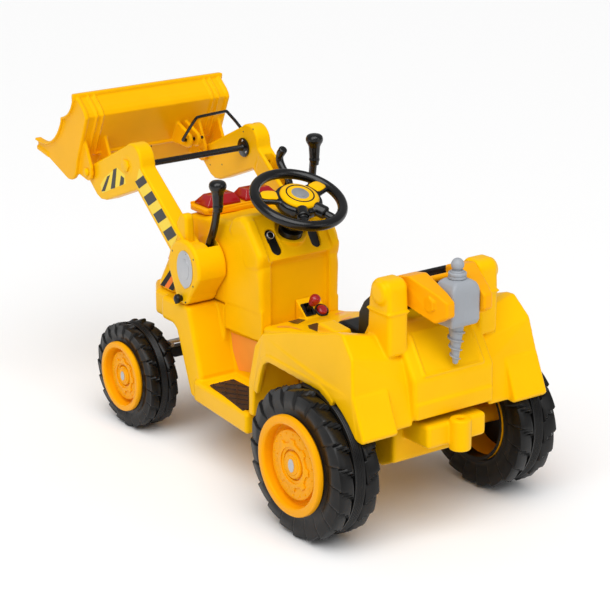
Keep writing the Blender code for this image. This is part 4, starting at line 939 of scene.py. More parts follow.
def arm_shell(side):
    """A bent arm with its round foot, elbow boss and lug, built on the left side."""
    arm = rounded(prism(arm_outline(), (ARM_X[0] + 0.0003, ARM_X[1] - 0.0003)), 0.009, 40, 5)
    root = rounded(cross_rod(ARM_PIVOT, ARM_X, 0.044, 64), 0.003)
    boss = lathe([(0, 0.156), (0.019, 0.156), (0.0212, 0.155), (0.0216, 0.15), (0, 0.15)],
                 on_side(ELBOW_BOSS, -0.0008))
    lug = rounded(prism([(-0.524, 0.41), (-0.522, 0.443), (-0.51, 0.461), (-0.496, 0.465),
                         (-0.487, 0.458), (-0.485, 0.405)], (0.131, 0.151)), 0.007, 40, 4)
    arm = join(arm, root, boss, lug)
    if side < 0:
        arm = cut(arm, *tilt_gear_room())
    holes = [cross_rod(place, (0.1, 0.17), radius)
             for place, radius in ((ARM_PIVOT, AXLE_R + 0.0006), (BUCKET_PIVOT, 0.0046))]
    return moulded(cut(arm, panel_groove(), *holes), FINE_VOXEL, 2, 60000)


def make_arms():
    for name, side in SIDES:
        show(sided(arm_shell(side), side), "loader_arm_" + name, YELLOW, "loader", "arm_" + name)
        strips = [prism([(-0.646, 0.523), (-0.511, 0.418), (-0.53, 0.386), (-0.66, 0.488)],
                        (0.1549, 0.1552)),
                  prism([(-0.799, 0.456), (-0.779, 0.4765), (-0.7325, 0.506), (-0.702, 0.498),
                         (-0.699, 0.48), (-0.792, 0.44)], (0.1546, 0.1549))]
        show(sided(group(*strips), side), "arm_strip_" + name, VINYL_PALE, "loader")
        bars = stripe_run((-0.649, 0.504), (-0.522, 0.403), 0.0172, 0.006,
                          ((0.02, 0.13), (0.26, 0.4), (0.53, 0.67), (0.8, 0.94)), 0.1552)
        bars += [prism(corners, (0.1549, 0.1553)) for corners in FOREARM_BARS]
        show(sided(group(*bars), side), "arm_bars_" + name, VINYL_DARK, "loader")
        head = rounded(prism(arc(ELBOW_BOSS, 0.013, 0.0, 300.0, 5), (0.1545, 0.159)), 0.0012)
        knuckle = lathe([(0, 0.1575), (0.0085, 0.1572), (0.011, 0.156), (0.0112, 0.153), (0, 0.153)],
                        on_side(BUCKET_PIVOT, 0.0), steps=48)
        show(sided(group(head, knuckle), side), "elbow_nut_" + name, YELLOW, "loader")
        screws = ((-0.655, 0.56), (-0.69, 0.548), (-0.56, 0.425), (-0.77, 0.462), (-0.815, 0.452))
        dots = [dome(on_side(place, 0.1204), -X_AXIS, 0.0017, 0.0006) for place in screws]
        show(sided(group(*dots), side), "arm_screws_" + name, VINYL_DARK, "loader")
    make_crossbar()


def make_crossbar():
    half = [(0, 0.1196), (0.019, 0.1196), (0.0195, 0.1188), (0.0195, 0.1168), (0.0185, 0.116),
            (0.011, 0.1156), (0.0075, 0.114), (0.0062, 0.111)]
    profile = half + [(radius, -height) for radius, height in reversed(half)]
    show(lathe(profile, on_side(CROSSBAR, 0.0)), "cross_tube", BAR, "loader", "crossbar")
    bolts = []
    for side in (-1, 1):
        for angle in (90, 210, 330):
            y, z = arc(CROSSBAR, 0.0142, angle, angle, 1)[0]
            bolts.append(dome((side * 0.1158, y, z), -side * X_AXIS, 0.0026, 0.0016))
    show(group(*bolts), "cross_bolts", STEEL, "loader")


def make_lift_levers():
    """Pull levers beside the hood: a flat foot round the pivot, a bent bar and a flared grip."""
    middle = 0.1125
    for name, side in SIDES:
        lift = 0.0 if side > 0 else 0.058        # the right lever is the longer one
        foot = rounded(cross_rod(ARM_PIVOT, (0.1067, 0.1183), 0.03, 48), 0.002)
        path = rounded_path([(-0.476, 0.364, 0), (-0.47, 0.396, 0), (-0.446, 0.442 + lift / 2, 0),
                             (-0.437, 0.48 + lift, 0), (-0.4338, 0.515 + lift, 0)], 3)
        rings = []
        for i, place in enumerate(path):
            share = i / (len(path) - 1)
            size = 0.0092 - 0.0012 * math.sin(math.pi * share)
            ring = []
            for a, b in arc((0, 0), 1.0, 15.0, 345.0, 11):
                square = 1.0 / max(abs(a), abs(b)) ** 0.45
                ring.append((middle + 0.0054 * a * square, place.x + size * b * square,
                             place.y - 0.25 * size * b * square))
            rings.append(ring)
        bar = loft(rings)
        grip = lathe([(0, 0.0262), (0.006, 0.0258), (0.0115, 0.0244), (0.0152, 0.0214), (0.0168, 0.0174),
                      (0.017, 0.0134), (0.0158, 0.0092), (0.0132, 0.005), (0.0112, 0.0), (0.0104, -0.012),
                      (0.0098, -0.022), (0.0104, -0.024), (0.0104, -0.027), (0.0092, -0.029),
                      (0.0085, -0.036), (0, -0.036)], (middle, -0.4335, 0.512 + lift), Z_AXIS, 48)
        hole = cross_rod(ARM_PIVOT, (0.09, 0.13), AXLE_R + 0.0006)
        lever = moulded(cut(join(foot, bar, grip), hole), 0.8 * FINE_VOXEL, 2, 40000)
        show(sided(lever, side), "pull_lever_" + name, WHEEL, "loader", "lift_lever_" + name)


# ---------------------------------------------------------------- bucket
def offset_open(points, distance):
    """The open outline moved sideways by the distance, with mitred corners."""
    moved_points = []
    for i, point in enumerate(points):
        here = Vector(point)
        normals = []
        for first, last in ((i - 1, i), (i, i + 1)):
            if first >= 0 and last < len(points):
                along = (Vector(points[last]) - Vector(points[first])).normalized()
                normals.append(Vector((-along.y, along.x)))
        normal = sum(normals, Vector((0, 0))).normalized()
        moved_points.append(tuple(here + normal * distance / normal.dot(normals[0])))
    return moved_points


def scallop(start, end, sag, steps):
    """A concave curve between two points, sagging to the right of the way from start to end."""
    start = Vector(start)
    end = Vector(end)
    across = (end - start).normalized()
    across = Vector((across.y, -across.x))
    points = []
    for i in range(1, steps):
        share = i / steps
        points.append(tuple(start.lerp(end, share) + across * sag * 4 * share * (1 - share)))
    return points


NIB_HIGH = (-0.9095, 0.5775)
NIB_LOW = (-0.911, 0.568)
CHEEK_TOP = (-0.8575, 0.6335)
CHEEK_TIP = (-1.02, 0.513)


def bucket_front():
    """The scalloped front edge of the bucket's side, from the tip of its floor to the lip."""
    return ([CHEEK_TIP] + scallop(CHEEK_TIP, NIB_LOW, 0.024, 18) + [NIB_LOW, NIB_HIGH]
            + scallop(NIB_HIGH, CHEEK_TOP, 0.013, 14) + [CHEEK_TOP])


def make_bucket():
    """The bucket's bent sheet with cheeks, flanges, ears, ribs and the lugs for the tilt rod."""
    line = [(-0.8575, 0.629), (-0.83, 0.6065), (-0.8235, 0.5995), (-0.8195, 0.5915), (-0.861, 0.503),
            (-0.885, 0.46), (-1.018, 0.493)]
    body = prism(line + list(reversed(offset_open(line, -0.0055))), (-0.172, 0.172))
    lip = rounded(block((-0.1785, 0.1785), (-0.8645, -0.852), (0.6205, 0.634)), 0.0025)
    edge = rounded(prism([(-0.975, 0.479), (-1.021, 0.4875), (-1.021, 0.4965), (-0.975, 0.489)],
                         (-0.176, 0.176)), 0.0012)
    parts = [lip, edge]
    cheek = [(-0.838, 0.6165), (-0.827, 0.6075), (-0.82, 0.599), (-0.8165, 0.59), (-0.856, 0.499),
             (-0.862, 0.476), (-0.866, 0.464), (-0.874, 0.455), (-0.885, 0.45), (-0.898, 0.449),
             (-0.995, 0.485), (-1.02, 0.489)] + bucket_front()
    flange = bucket_front()
    flange = flange + list(reversed(offset_open(flange, -0.005)))
    ear = [(-0.845, 0.548), (-0.8165, 0.488)] + arc(BUCKET_PIVOT, 0.0175, 20.0, -110.0, 12)
    ear += [(-0.8835, 0.468), (-0.8645, 0.501)]
    back = line[:5]
    rib = offset_open(back, 0.0035) + list(reversed(offset_open(back, -0.002)))
    for side in (-1, 1):
        parts.append(rounded(prism(cheek, one_side(side, 0.1645, 0.1735)), 0.0022))
        parts.append(prism(flange, one_side(side, 0.166, 0.18)))
        for low, high in ((0.11, 0.117), (0.158, 0.165)):
            parts.append(rounded(prism(ear, one_side(side, low, high)), 0.0014))
        for low, high in ((0.13, 0.134), (0.144, 0.148)):
            parts.append(rounded(prism(rib, one_side(side, low, high)), 0.001))
    ledge = rounded(prism([(-0.865, 0.506), (-0.856, 0.507), (-0.8575, 0.502), (-0.866, 0.5)],
                          (-0.13, 0.13)), 0.001)
    lug = [(-0.844, 0.55)] + arc(ROD_PIN, 0.0165, 60.0, -110.0, 16) + [(-0.864, 0.502)]
    for low, high in ((-0.0635, -0.0555), (-0.0835, -0.0755)):
        parts.append(rounded(prism(lug, (low, high)), 0.0016))
    body = join(body, *parts, ledge)
    holes = [cross_rod(ROD_PIN, (-0.1, -0.04), 0.0038)]
    for side in (-1, 1):
        holes.append(cross_rod(BUCKET_PIVOT, (side * 0.1, side * 0.171), 0.0046))
    show(moulded(cut(body, *holes), 0.85 * VOXEL, 2, 150000), "bucket_scoop", BUCKET, "bucket", "bucket")
    make_bucket_teeth()
    make_bucket_pins()


def make_bucket_teeth():
    """A row of low wedges along the bucket's front edge."""
    outline = [(-0.96, 0.483), (-1.02, 0.4975), (-1.02, 0.501), (-0.96, 0.49)]
    teeth = [rounded(prism(outline, around(0.05 * i, 0.008)), 0.0018) for i in range(-3, 4)]
    show(group(*teeth), "bucket_teeth", BUCKET, "bucket")


def make_bucket_pins():
    for name, side in SIDES:
        pin = lathe([(0, 0.1704), (0.0045, 0.1702), (0.007, 0.1694), (0.0085, 0.1676), (0.0085, 0.1656),
                     (0.004, 0.1654), (0.004, 0.1095), (0.007, 0.1094), (0.0075, 0.1086), (0.0075, 0.1066),
                     (0.006, 0.1056), (0, 0.1055)], on_side(BUCKET_PIVOT, 0.0), steps=48)
        show(sided(pin, side), "pin_" + name, YELLOW, "bucket", "bucket_pin_" + name)


# ---------------------------------------------------------------- bucket tilt
def make_tilt_gear():
    """The bent rod from the bucket's lugs into the right arm, and the handle that works it."""
    route = [(-0.097, *ROD_PIN), (-0.049, *ROD_PIN), (-0.046, -0.8035, 0.5185), (-0.0465, -0.753, 0.574),
             (-0.051, -0.749, 0.577), (-0.133, -0.7715, 0.5735), (TILT_X, -0.776, 0.5714),
             (TILT_X, -0.7245, 0.5477), (TILT_X, -0.64, 0.49)]
    show(tube(route, 0.0032, 20, 2), "tilt_bar", BAR, "tilt_rod", "tilt_rod")
    blade = rounded(prism([(-0.57, 0.438), (-0.56, 0.432), (-0.55, 0.438), (-0.548, 0.47), (-0.562, 0.492),
                           (-0.574, 0.486), (-0.562, 0.47)], around(TILT_X, 0.006)), 0.0025)
    bend = tube([(TILT_X, -0.564, 0.482), (TILT_X, -0.583, 0.498), (TILT_X, -0.589, 0.513),
                 (TILT_X, -0.58, 0.526)], 0.0078, 24, 3)
    end = rod((TILT_X, -0.586, 0.5185), (TILT_X, -0.5735, 0.533), 0.0086, 0.009, 40)
    grip = group(bend, rounded(end, 0.0035, 30, 4))
    pin = cross_rod(TILT_LEVER_PIVOT, (-0.1256, -0.1494), 0.004)
    show(group(blade, grip, pin), "tilt_handle", WHEEL, "tilt_lever", "tilt_lever")


# ---------------------------------------------------------------- steering
def wheel_point(angle, radius, height):
    """A point on the steering wheel, by its angle from the digger's left and its height above the ring."""
    turn = math.radians(angle)
    back = steer_axis().cross(X_AXIS)
    return along_column(height) + radius * (math.cos(turn) * X_AXIS + math.sin(turn) * back)


def wheel_bar(angle, stations):
    """A flat spoke through (reach, height, half width, thickness) stations, with a rounded section."""
    along = wheel_point(angle, 1.0, 0.0) - along_column(0.0)
    across = steer_axis().cross(along)
    rings = []
    for reach, height, half, thickness in stations:
        ring = []
        for a, b in arc((0, 0), 1.0, 11.25, 348.75, 15):
            square = 1.0 / max(abs(a), abs(b)) ** 0.6
            ring.append(along_column(height) + along * reach + across * half * a * square
                        + steer_axis() * 0.5 * thickness * b * square)
        rings.append(ring)
    return loft(rings)


SPOKES = (200.0, 340.0)         # angles of the two flat spokes, and of the two posts at the front
POSTS = (65.0, 115.0)


def make_steering_wheel():
    """The ring, and the hub with its spokes and posts in one moulding; yellow inserts on the spokes."""
    axis = steer_axis()
    section = [(STEER_RING_R + a, b) for a, b in arc((0, 0), 0.0098, 0.0, 360.0, 28)]
    section[-1] = section[0]
    ring = lathe(section, along_column(0.0), axis, 144)
    hub = lathe([(0, 0.0062), (0.0405, 0.0062), (0.043, 0.0056), (0.0455, 0.0034), (0.0465, 0.0),
                 (0.046, -0.007), (0.0448, -0.012), (0.038, -0.02), (0.027, -0.03), (0.0225, -0.037),
                 (0.02, -0.06), (0, -0.06)], along_column(0.0), axis, 96)
    spoke = ((0.036, 0.001, 0.02, 0.013), (0.055, 0.0008, 0.018, 0.0125),
             (0.072, -0.0002, 0.0165, 0.012), (0.085, -0.001, 0.016, 0.011))
    parts = [wheel_bar(angle, spoke) for angle in SPOKES]
    knob = [(0, 0.0), (0.0128, 0.0), (0.0132, 0.004), (0.0128, 0.023), (0.0112, 0.0255), (0, 0.026)]
    for angle in POSTS:
        way = wheel_point(angle, 1.0, 0.04) - along_column(0)
        parts.append(rod(wheel_point(angle, 0.03, 0.0), wheel_point(angle, 0.083, -0.001), 0.008))
        parts.append(lathe(knob, wheel_point(angle, 0.036, 0.0), way, 40))
    bore = rod(along_column(-0.07), along_column(-0.006), AXLE_R + 0.0006)
    wheel = moulded(cut(join(hub, *parts), bore), FINE_VOXEL, 2, 60000)
    show(group(ring, wheel), "wheel_ring_and_spokes", WHEEL, "steering", "steering_wheel")
    insert = ((0.044, 0.0066, 0.0105, 0.003), (0.048, 0.007, 0.0134, 0.0046),
              (0.06, 0.0068, 0.0134, 0.0048), (0.07, 0.006, 0.012, 0.0044),
              (0.075, 0.0052, 0.008, 0.0024))
    show(group(*[wheel_bar(angle, insert) for angle in SPOKES]), "spoke_inserts", YELLOW, "steering")


def make_hub_cover():
    axis = steer_axis()
    cover = lathe([(0, 0.0145), (0.025, 0.0142), (0.0258, 0.0134), (0.0274, 0.0134), (0.0282, 0.0139),
                   (0.032, 0.0132), (0.0362, 0.0112), (0.0382, 0.0088), (0.0385, 0.0066), (0, 0.0066)],
                  along_column(0.0), axis, 96)
    show(cover, "hub_disc", YELLOW, "steering", "steering_hub_cover")
    dark = lathe([(0.0254, 0.0142), (0.026, 0.0148), (0.0276, 0.0147), (0.0282, 0.0138), (0.0254, 0.0132),
                  (0.0254, 0.0142)], along_column(0.0), axis, 96)
    show(dark, "hub_ring", BLACK, "steering")
    up = -axis.cross(X_AXIS)
    plate = badge((0.034, 0.035), along_column(0.0146), X_AXIS, up, 0.0012, 0.0004)
    inner = badge((0.022, 0.023), along_column(0.0155), X_AXIS, up, 0.0007, 0.0003)
    show(group(plate, inner), "hub_badge", SILVER, "steering")


def make_column():
    """The steering shaft with its crank, and the collar where it enters the dash."""
    shaft = rod(along_column(-0.353), along_column(-0.0065), AXLE_R, steps=40)
    crank = rounded(block((-0.008, 0.008), (-0.496, -0.452), (0.178, 0.183)), 0.0012)
    show(group(shaft, crank), "column_shaft", STEEL, "steering", "steering_shaft")
    collar = lathe([(0.0219, -0.066), (0.023, -0.0664), (0.0236, -0.068), (0.0236, -0.0772),
                    (0.0075, -0.0772), (0.0075, -0.066), (0.0219, -0.066)],
                   along_column(0.0), steer_axis(), 96)
    show(collar, "column_ring", BLACK, "chassis", "column_collar")


def make_front_axle():
    beam = rounded(block((-0.105, 0.105), (-0.645, -0.625), (0.126, 0.146)), 0.002)
    ribs = [rounded(block((-0.095, 0.095), around(y, 0.0015), (0.124, 0.13)), 0.001)
            for y in (-0.642, -0.628)]
    eyes = both(washer((0.0048, 0.014), (0.0, 0.02), (0.118, FRONT_AXLE[0], 0.126), Z_AXIS, 48))
    show(group(beam, *ribs, *eyes), "axle_beam", CASE, "chassis", "front_axle")
    for name, side in SIDES:
        route = [(0.2015, *FRONT_AXLE), (0.124, *FRONT_AXLE), (0.1198, -0.635, 0.1085),
                 (0.118, -0.635, 0.1125), (0.118, -0.635, 0.158), (0.118, -0.632, 0.1625),
                 (0.118, -0.628, 0.164), (0.118, -0.596, 0.164)]
        knuckle = tube([(side * x, y, z) for x, y, z in route], 0.0042, 24, 2)
        show(knuckle, "knuckle_rod_" + name, STEEL, "knuckle_" + name, "steering_knuckle_" + name)
    outline = [(-0.126, -0.607), (0.126, -0.607), (0.126, -0.591), (0.02, -0.58), (0.014, -0.48),
               (-0.014, -0.48), (-0.02, -0.58), (-0.126, -0.591)]
    show(rounded(slab(outline, (0.1696, 0.173)), 0.0012), "link_plate", STEEL, "tie_rod", "tie_rod")


# ---------------------------------------------------------------- rear body
FENDER_DIP = 0.027            # how far the mudguard's top falls from its outer to its inner side


def taper_fender(obj):
    """Draws the outer side in towards the front and the top, and dips the inner top to the deck."""
    for vertex in obj.data.vertices:
        if vertex.co.x < 0.1 and vertex.co.z > 0.31:
            vertex.co.z -= FENDER_DIP
        if vertex.co.x > 0.15:
            forward = max(0.0, 0.06 - vertex.co.y)
            above = max(0.0, vertex.co.z - 0.3)
            vertex.co.x -= 0.07 * forward + 0.16 * above
    return obj


ARCH = [(0.128, 0.215), (0.1185, 0.224), (0.104, 0.24), (0.086, 0.255), (0.064, 0.27),
        (0.04, 0.281), (0.02, 0.288), (-0.14, 0.288), (-0.16, 0.286), (-0.178, 0.274),
        (-0.19, 0.25), (-0.204, 0.205), (-0.209, FLOOR_Z + 0.0004)]


def fender():
    """A rear mudguard: its arched body, rear flap, outer lip, the step by the seat and curved grooves."""
    outline = [(-0.226, FLOOR_Z + 0.0004), (-0.225, 0.215), (-0.204, 0.29), (-0.18, 0.321), (-0.09, 0.35),
               (0.01, 0.376), (0.05, 0.389), (0.068, 0.39), (0.104, 0.355), (0.1175, 0.29),
               (0.131, 0.222)] + ARCH
    body = rounded(taper_fender(prism(outline, (HULL_X + 0.0008, 0.2085))), 0.009, 22, 4)
    flap = [(0.11, 0.3), (0.119, 0.29), (0.1495, 0.221), (0.142, 0.214), (0.128, 0.215),
            (0.109, 0.25)]
    lip = ARCH[4:-1]
    band = taper_fender(prism(lip + list(reversed(offset_open(lip, 0.013))), (0.2, 0.2105)))
    step = prism([(-0.11, 0.3), (-0.102, 0.35), (-0.046, 0.347), (-0.034, 0.3)], (0.087, 0.122))
    flap = prism(flap, (0.132, 0.2075))
    body = join(body, rounded(flap, 0.003), rounded(band, 0.0012), rounded(step, 0.004))
    grooves = []
    for i in range(5):
        reach = 0.02 + 0.0085 * i
        path = []
        for a, b in arc((0.185, -0.175), reach + 0.028, 100.0, 200.0, 10):
            path.append((a, b, 0.3215 + 0.322 * (b + 0.176) - 0.225 * (0.2085 - a)))
        grooves.append(tube(path, 0.0014, 8, 1))
    return cut(body, *grooves)


def on_console(x, along, up):
    """A point over the sloping face of the console: along runs down the slope to the rear."""
    return Vector((x, -0.3308 + along * math.cos(CONSOLE_SLOPE) + up * math.sin(CONSOLE_SLOPE),
                   0.3107 - along * math.sin(CONSOLE_SLOPE) + up * math.cos(CONSOLE_SLOPE)))


def console_slab(x, along, up):
    rings = []
    for level in up:
        rings.append([on_console(x[0], along[0], level), on_console(x[1], along[0], level),
                      on_console(x[1], along[1], level), on_console(x[0], along[1], level)])
    return loft(rings)


CONSOLE_UP = on_console(0.0, 0.0, 1.0) - on_console(0.0, 0.0, 0.0)
SHIFTER = (-0.007, 0.029)          # places on the console: X, and along its slope
HORN = (-0.0345, 0.037)
SADDLE_TOP = [(-0.3215, 0.274), (-0.293, 0.2785), (-0.246, 0.291), (-0.2, 0.2985), (-0.15, 0.3065),
              (-0.12, 0.32), (-0.02, 0.332), (0.01, 0.384), (0.068, 0.388), (0.09, 0.372), (0.137, 0.3),
              (0.139, 0.24), (0.134, 0.226), (0.09, 0.224)]
SADDLE_INSIDE = [(-0.316, 0.2), (-0.316, 0.269), (-0.293, 0.2725), (-0.246, 0.285), (-0.2, 0.2925),
                 (-0.152, 0.3005), (-0.122, 0.314), (-0.024, 0.326), (0.006, 0.378), (0.066, 0.381),
                 (0.086, 0.367), (0.131, 0.298), (0.132, 0.2)]


def console():
    outline = [(-0.3308, 0.26), (-0.3308, 0.3107), (-0.29, 0.276), (-0.29, 0.269), (-0.315, 0.26)]
    wedge = rounded(prism(outline, (-0.0475, 0.0065)), 0.0015)
    socket = rod(on_console(*HORN, -0.0065), on_console(*HORN, 0.01), 0.0124, steps=40)
    return cut(wedge, console_slab((-0.0137, -0.0003), (0.0163, 0.0417), (-0.01, 0.01)), socket)


def post():
    """The upright behind the seat that carries the drill, with its round cap."""
    outline = [(0.04, 0.34), (0.046, 0.44), (0.051, 0.464), (0.063, 0.4765), (0.092, 0.4765),
               (0.103, 0.466), (0.1055, 0.43), (0.106, 0.34)]
    body = rounded(prism(outline, (0.079, 0.122)), 0.007, 25, 4)
    cap = lathe([(0, 0.007), (0.013, 0.007), (0.014, 0.0058), (0.0175, 0.0058), (0.0195, 0.0045),
                 (0.02, 0.0025), (0.02, -0.004), (0, -0.004)], (0.122, 0.079, 0.453))
    neck = rounded(block((0.0775, 0.124), (0.042, 0.1075), (0.4165, 0.4205)), 0.0015)
    return join(body, cap, neck)


def make_rear_body():
    """Saddle, mudguards, console and posts, with a framed panel sunk in the apron behind the seat."""
    saddle = rounded(prism([(-0.3215, SEAM_Z + 0.0004)] + SADDLE_TOP + [(0.08, SEAM_Z + 0.0004)],
                           (-0.09, 0.09)), 0.007, 25)
    body = join(saddle, *both(fender()), console(), *both(post()))
    panel = prism([(0.0955, 0.367), (0.1295, 0.314), (0.1465, 0.328), (0.1165, 0.388)], (-0.058, 0.058))
    panel = rounded(panel, 0.0025)
    body = cut(body, prism(SADDLE_INSIDE, (-0.0835, 0.0835)), panel,
               cross_rod(DRILL_PIVOT, (-0.1206, 0.1206), 0.0068))
    top = Vector((0, 0.0935, 0.369))
    foot = top + Vector((0, 0.047, -0.072)) * 0.88
    half = X_AXIS * 0.0655
    edges = ((top - half, foot - half), (top + half, foot + half), (foot - half, foot + half))
    body = join(body, *[tube(edge, 0.0022, 12, 0) for edge in edges])
    tail = prism([(0.133, 0.262), (0.1415, 0.258), (0.14, 0.228), (0.131, 0.228)], (-0.086, 0.086))
    body = join(body, rounded(tail, 0.003))
    show(moulded(body, VOXEL, 4, 190000), "saddle_and_mudguards", YELLOW, "chassis", "rear_body")


def make_seat():
    outline = [(-0.106, 0.3345), (-0.1025, 0.342), (-0.09, 0.3455), (-0.03, 0.342), (-0.012, 0.352),
               (0.004, 0.4), (0.021, 0.446), (0.028, 0.457), (0.036, 0.4555), (0.0345, 0.442),
               (0.01, 0.3905), (-0.022, 0.3345), (-0.06, 0.3305)]
    shell = rounded(prism([(y, z + 0.0007) for y, z in outline], (-0.0765, 0.0765)), 0.005, 40, 4)
    corner = prism([(-0.02, 0.439), (0.06, 0.439), (0.06, 0.475), (-0.02, 0.475)], (0.0585, 0.08))
    wing = rounded(prism([(-0.044, 0.338), (-0.042, 0.378), (-0.028, 0.401), (-0.006, 0.42),
                          (0.018, 0.436), (0.015, 0.4), (-0.01, 0.345)], (0.06, 0.0765)), 0.005, 40, 4)
    round_off = rod((0.0585, -0.03, 0.439), (0.0585, 0.07, 0.439), 0.0185, steps=64)
    shell = join(cut(shell, *both(cut(corner, round_off))), *both(wing))
    ball = lathe([(0, -1.0), (0.6, -0.8), (0.9, -0.45), (1.0, 0.0), (0.9, 0.45), (0.6, 0.8), (0, 1.0)],
                 axis=Z_AXIS)
    dish = moved(ball, Matrix.Translation((0, -0.06, 0.348)) @ Matrix.Diagonal((0.058, 0.036, 0.006, 1.0)))
    seams = []
    for i in range(4):
        place = (0.0005 + 0.0075 * i, 0.402 + 0.0175 * i)
        seams.append(tube([on_side(place, -0.056), on_side(place, 0.056)], 0.0016, 8, 0))
    show(moulded(cut(shell, dish, *seams), FINE_VOXEL, 3, 70000), "seat_shell", SEAT, "chassis", "seat")


def make_shifter():
    """The gate on the console, the stem and the red ribbed knob."""
    plate = console_slab((-0.0185, 0.0045), (0.0155, 0.043), (0.0004, 0.0034))
    opening = console_slab((-0.0131, -0.0009), (0.0169, 0.0411), (-0.01, 0.01))
    show(rounded(cut(plate, opening), 0.0008, 30, 2), "shift_gate", BLACK, "chassis", "shifter_plate")
    base = on_console(*SHIFTER, 0.0)
    stem = lathe([(0, -0.007), (0.005, -0.007), (0.005, 0.008), (0.0042, 0.012), (0.0042, 0.019),
                  (0, 0.019)], base, CONSOLE_UP, 32)
    show(stem, "shift_stem", BLACK, "shifter", "shifter_stem")
    profile = [(0, 0.0445), (0.004, 0.0443), (0.007, 0.0432), (0.0095, 0.0405), (0.0104, 0.037)]
    for i in range(3):
        level = 0.035 - 0.0042 * i
        wide = 0.0104 - 0.0009 * i
        profile += [(wide, level), (wide - 0.001, level - 0.001), (wide - 0.001, level - 0.0022),
                    (wide - 0.0004, level - 0.003)]
    profile += [(0.0072, 0.0215), (0.006, 0.0196), (0, 0.0194)]
    show(lathe(profile, base, CONSOLE_UP, 64), "shift_grip", KNOB, "shifter", "shifter_knob")


def make_horn():
    base = on_console(*HORN, -0.001)
    cap = lathe([(0, 0.0086), (0.005, 0.0085), (0.0085, 0.0078), (0.01, 0.0062), (0.0105, 0.004),
                 (0.0105, 0.0), (0, 0.0)], base, CONSOLE_UP)
    show(cap, "horn_cap", KNOB, "horn_button", "horn_button")
    ring = lathe([(0.0113, 0.0008), (0.0115, 0.004), (0.0124, 0.0046), (0.0138, 0.004), (0.0143, 0.0008),
                  (0.0113, 0.0008)], base, CONSOLE_UP)
    show(ring, "horn_ring", BLACK, "chassis")


def make_pedal():
    """The foot pedal on the right footboard, with ribs across its face."""
    outline = [(-0.405, 0.165), (-0.352, 0.1545), (-0.352, 0.158), (-0.38, 0.172), (-0.405, 0.176)]
    pedal = rounded(prism(outline, (-0.16, -0.118)), 0.002)
    face = Vector((0, 0.028, -0.014)).normalized()
    half = X_AXIS * 0.0175
    bars = []
    for i in range(5):
        middle = Vector((-0.139, -0.38, 0.1718)) + face * (0.0045 + 0.0048 * i)
        bars.append(rod(middle - half, middle + half, 0.0009, steps=12))
    show(group(pedal, *bars), "pedal_pad", CASE, "foot_pedal", "foot_pedal")


DECK_LABELS = (
    (VINYL_DARK, "deck_label_dark", [(0.036, -0.313), (0.01, -0.315), (0.008, -0.295), (0.046, -0.268)]),
    (VINYL_DARK, "deck_label_side", [(0.05, -0.23), (0.027, -0.233), (0.034, -0.213),
                                     (0.074, -0.164), (0.065, -0.206)]),
    (VINYL_PEACH, "deck_label_peach", [(0.07, -0.295), (0.069, -0.262), (0.076, -0.23),
                                       (0.082, -0.206), (0.079, -0.25), (0.079, -0.29)]),
    (VINYL_PEACH, "deck_label_far", [(-0.053, -0.285), (-0.076, -0.29), (-0.042, -0.215),
                                     (-0.012, -0.208)]),
)


def deck_height(_, y):
    """The height of the saddle's deck in front of the seat, which is level across."""
    for (y0, z0), (y1, z1) in zip(SADDLE_TOP, SADDLE_TOP[1:]):
        if y0 <= y <= y1:
            return z0 + (z1 - z0) * (y - y0) / (y1 - y0)
    return SADDLE_TOP[0][1]


def fender_height(x, y):
    """The height of a mudguard's top in front of the seat."""
    inner, outer = HULL_X + 0.0008, 0.2085
    return 0.321 + 0.3222 * (y + 0.18) - FENDER_DIP * (outer - x) / (outer - inner)


def make_labels():
    """Plain labels on the deck and on the left mudguard."""
    for finish, name, outline in DECK_LABELS:
        show(printed_on(deck_height, outline, (0.0003, 0.0006)), name, finish, "chassis")
    outline = [(0.096, -0.164), (0.13, -0.166), (0.152, -0.156), (0.138, -0.138), (0.104, -0.142)]
    label = printed_on(fender_height, outline, (0.0004, 0.0009))
    show(label, "fender_label", VINYL_PEACH, "chassis")


def make_drive():
    show(axle_bar(REAR_AXLE, 0.241), "rear_axle_bar", STEEL, "chassis", "rear_axle")
    case = rounded(block((0.09, 0.13), (-0.052, 0.034), (0.108, 0.196)), 0.006)
    motor = rounded(rod((0.11, -0.07, 0.222), (0.11, -0.02, 0.18), 0.018, steps=48), 0.0015)
    fins = [rounded(block((0.0895, 0.1305), around(0.012 * i - 0.04, 0.0014), (0.116, 0.19)), 0.0008)
            for i in range(6)]
    bore = cross_rod(REAR_AXLE, (0.08, 0.15), AXLE_R + 0.0008)
    show(cut(join(case, motor, *fins), bore), "gear_case", CASE, "chassis", "gearbox")
    battery = rounded(block((-0.05, 0.05), (-0.41, -0.34), (0.1174, 0.215)), 0.003)
    lid = rounded(block((-0.0495, 0.0495), (-0.4095, -0.3405), (0.2035, 0.2165)), 0.0012)
    terminals = both(rounded(block((-0.035, -0.028), (-0.38, -0.37), (0.214, 0.222)), 0.0006))
    show(group(battery, lid, *terminals), "battery_pack", CASE, "chassis", "battery")


# ---------------------------------------------------------------- drill
def drill_arm():
    """The left arm of the drill's fork: a plate that narrows to the rear."""
    half = [(0.064, 0.472), (0.095, 0.478), (0.152, 0.4555), (0.172, 0.444), (0.173, 0.418),
            (0.148, 0.403), (0.09, 0.424), (0.068, 0.432)]
    outer = [(0.0755 - max(0.0, y - 0.095) * 0.32, y, z) for y, z in half]
    return rounded(loft([[(0.032, y, z) for y, z in half], outer]), 0.0035, 25, 4)


